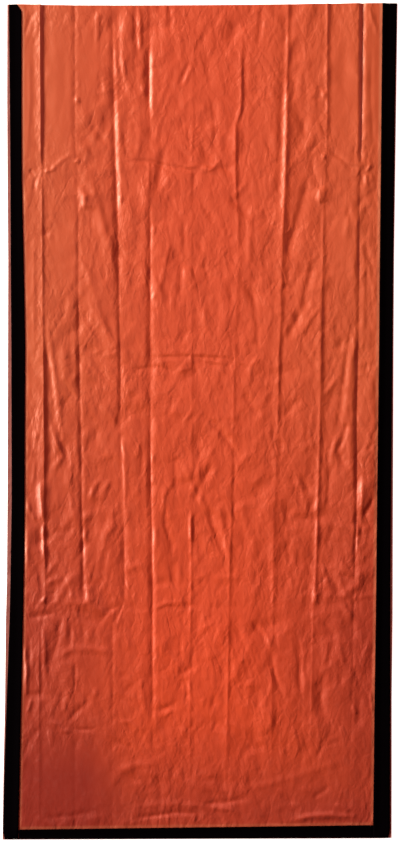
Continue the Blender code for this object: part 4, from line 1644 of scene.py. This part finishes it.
@dataclass
class Studio:
    """Floor, room, lights and camera, in metres."""

    camera_height: float = 4.0
    view_length: float = 1.9955      # that the long side of the frame spans
    view_centre: tuple[float, float] = (0.0, 0.001)
    sensor: float = 36.0             # mm
    floor_size: float = 600.0        # so large that its edge is near the horizon
    floor_drop: float = 0.0005       # from the bag's underside
    world_strength: float = 0.07
    world_colour: tuple[float, float, float] = BOUNCE
    wall_colour: tuple[float, float, float] = (1.0, 1.0, 1.0)

    def build_floor(self) -> bpy.types.Object:
        """Lay a white floor just under the bag.

        Returns:
            The floor.
        """
        mesh = bmesh.new()
        bmesh.ops.create_grid(mesh, x_segments=1, y_segments=1, size=self.floor_size / 2.0)
        bmesh.ops.translate(mesh, verts=mesh.verts, vec=(0.0, 0.0, -self.floor_drop))
        data = bpy.data.meshes.new("studio_floor")
        mesh.to_mesh(data)
        mesh.free()
        data.materials.append(FloorFinish().build())
        floor = bpy.data.objects.new("studio_floor", data)
        bpy.context.scene.collection.objects.link(floor)
        return floor

    def build_world(self) -> None:
        """Fill the room with a little reddish light, and show a pale wall past the floor."""
        world = bpy.data.worlds.new("studio_air")
        world.use_nodes = True
        nodes = world.node_tree.nodes
        air = nodes["Background"]
        air.inputs["Color"].default_value = (*self.world_colour, 1.0)
        air.inputs["Strength"].default_value = self.world_strength
        wall = nodes.new("ShaderNodeBackground")
        wall.inputs["Color"].default_value = (*self.wall_colour, 1.0)
        seen = nodes.new("ShaderNodeLightPath")
        room = nodes.new("ShaderNodeMixShader")
        join = world.node_tree.links.new
        join(seen.outputs["Is Camera Ray"], room.inputs["Fac"])
        join(air.outputs["Background"], room.inputs[1])
        join(wall.outputs["Background"], room.inputs[2])
        join(room.outputs["Shader"], nodes["World Output"].inputs["Surface"])
        bpy.context.scene.world = world

    def build_camera(self) -> bpy.types.Object:
        """Hang the camera straight above the bag.

        Returns:
            The camera.
        """
        data = bpy.data.cameras.new("camera")
        data.sensor_width = self.sensor
        data.lens = self.sensor * self.camera_height / self.view_length
        data.clip_end = self.floor_size
        camera = bpy.data.objects.new("camera", data)
        camera.location = (*self.view_centre, self.camera_height)
        bpy.context.scene.collection.objects.link(camera)
        bpy.context.scene.camera = camera
        return camera

    def build(self) -> None:
        """Set the whole studio up, and show the film's colours as they are."""
        bpy.context.scene.view_settings.view_transform = "Standard"
        self.build_floor()
        self.build_world()
        for light in LIGHTS:
            light.build()
        self.build_camera()


def main() -> None:
    """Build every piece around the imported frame."""
    logging.basicConfig(level=logging.INFO)
    plan = Plan()
    film = FilmFinish().build()
    tape = TapeFinish().build()
    back = BackPanel(plan).build(film)
    log.info("%s: %d faces", back.name, len(back.data.polygons))
    panel = FrontPanel(plan)
    front = panel.build(film)
    log.info("%s: %d faces", front.name, len(front.data.polygons))
    tapes = SeamTapes(plan, panel).build(tape)
    for strip in tapes:
        log.info("%s: %d faces", strip.name, len(strip.data.polygons))
    Studio().build()


if __name__ == "__main__":
    main()
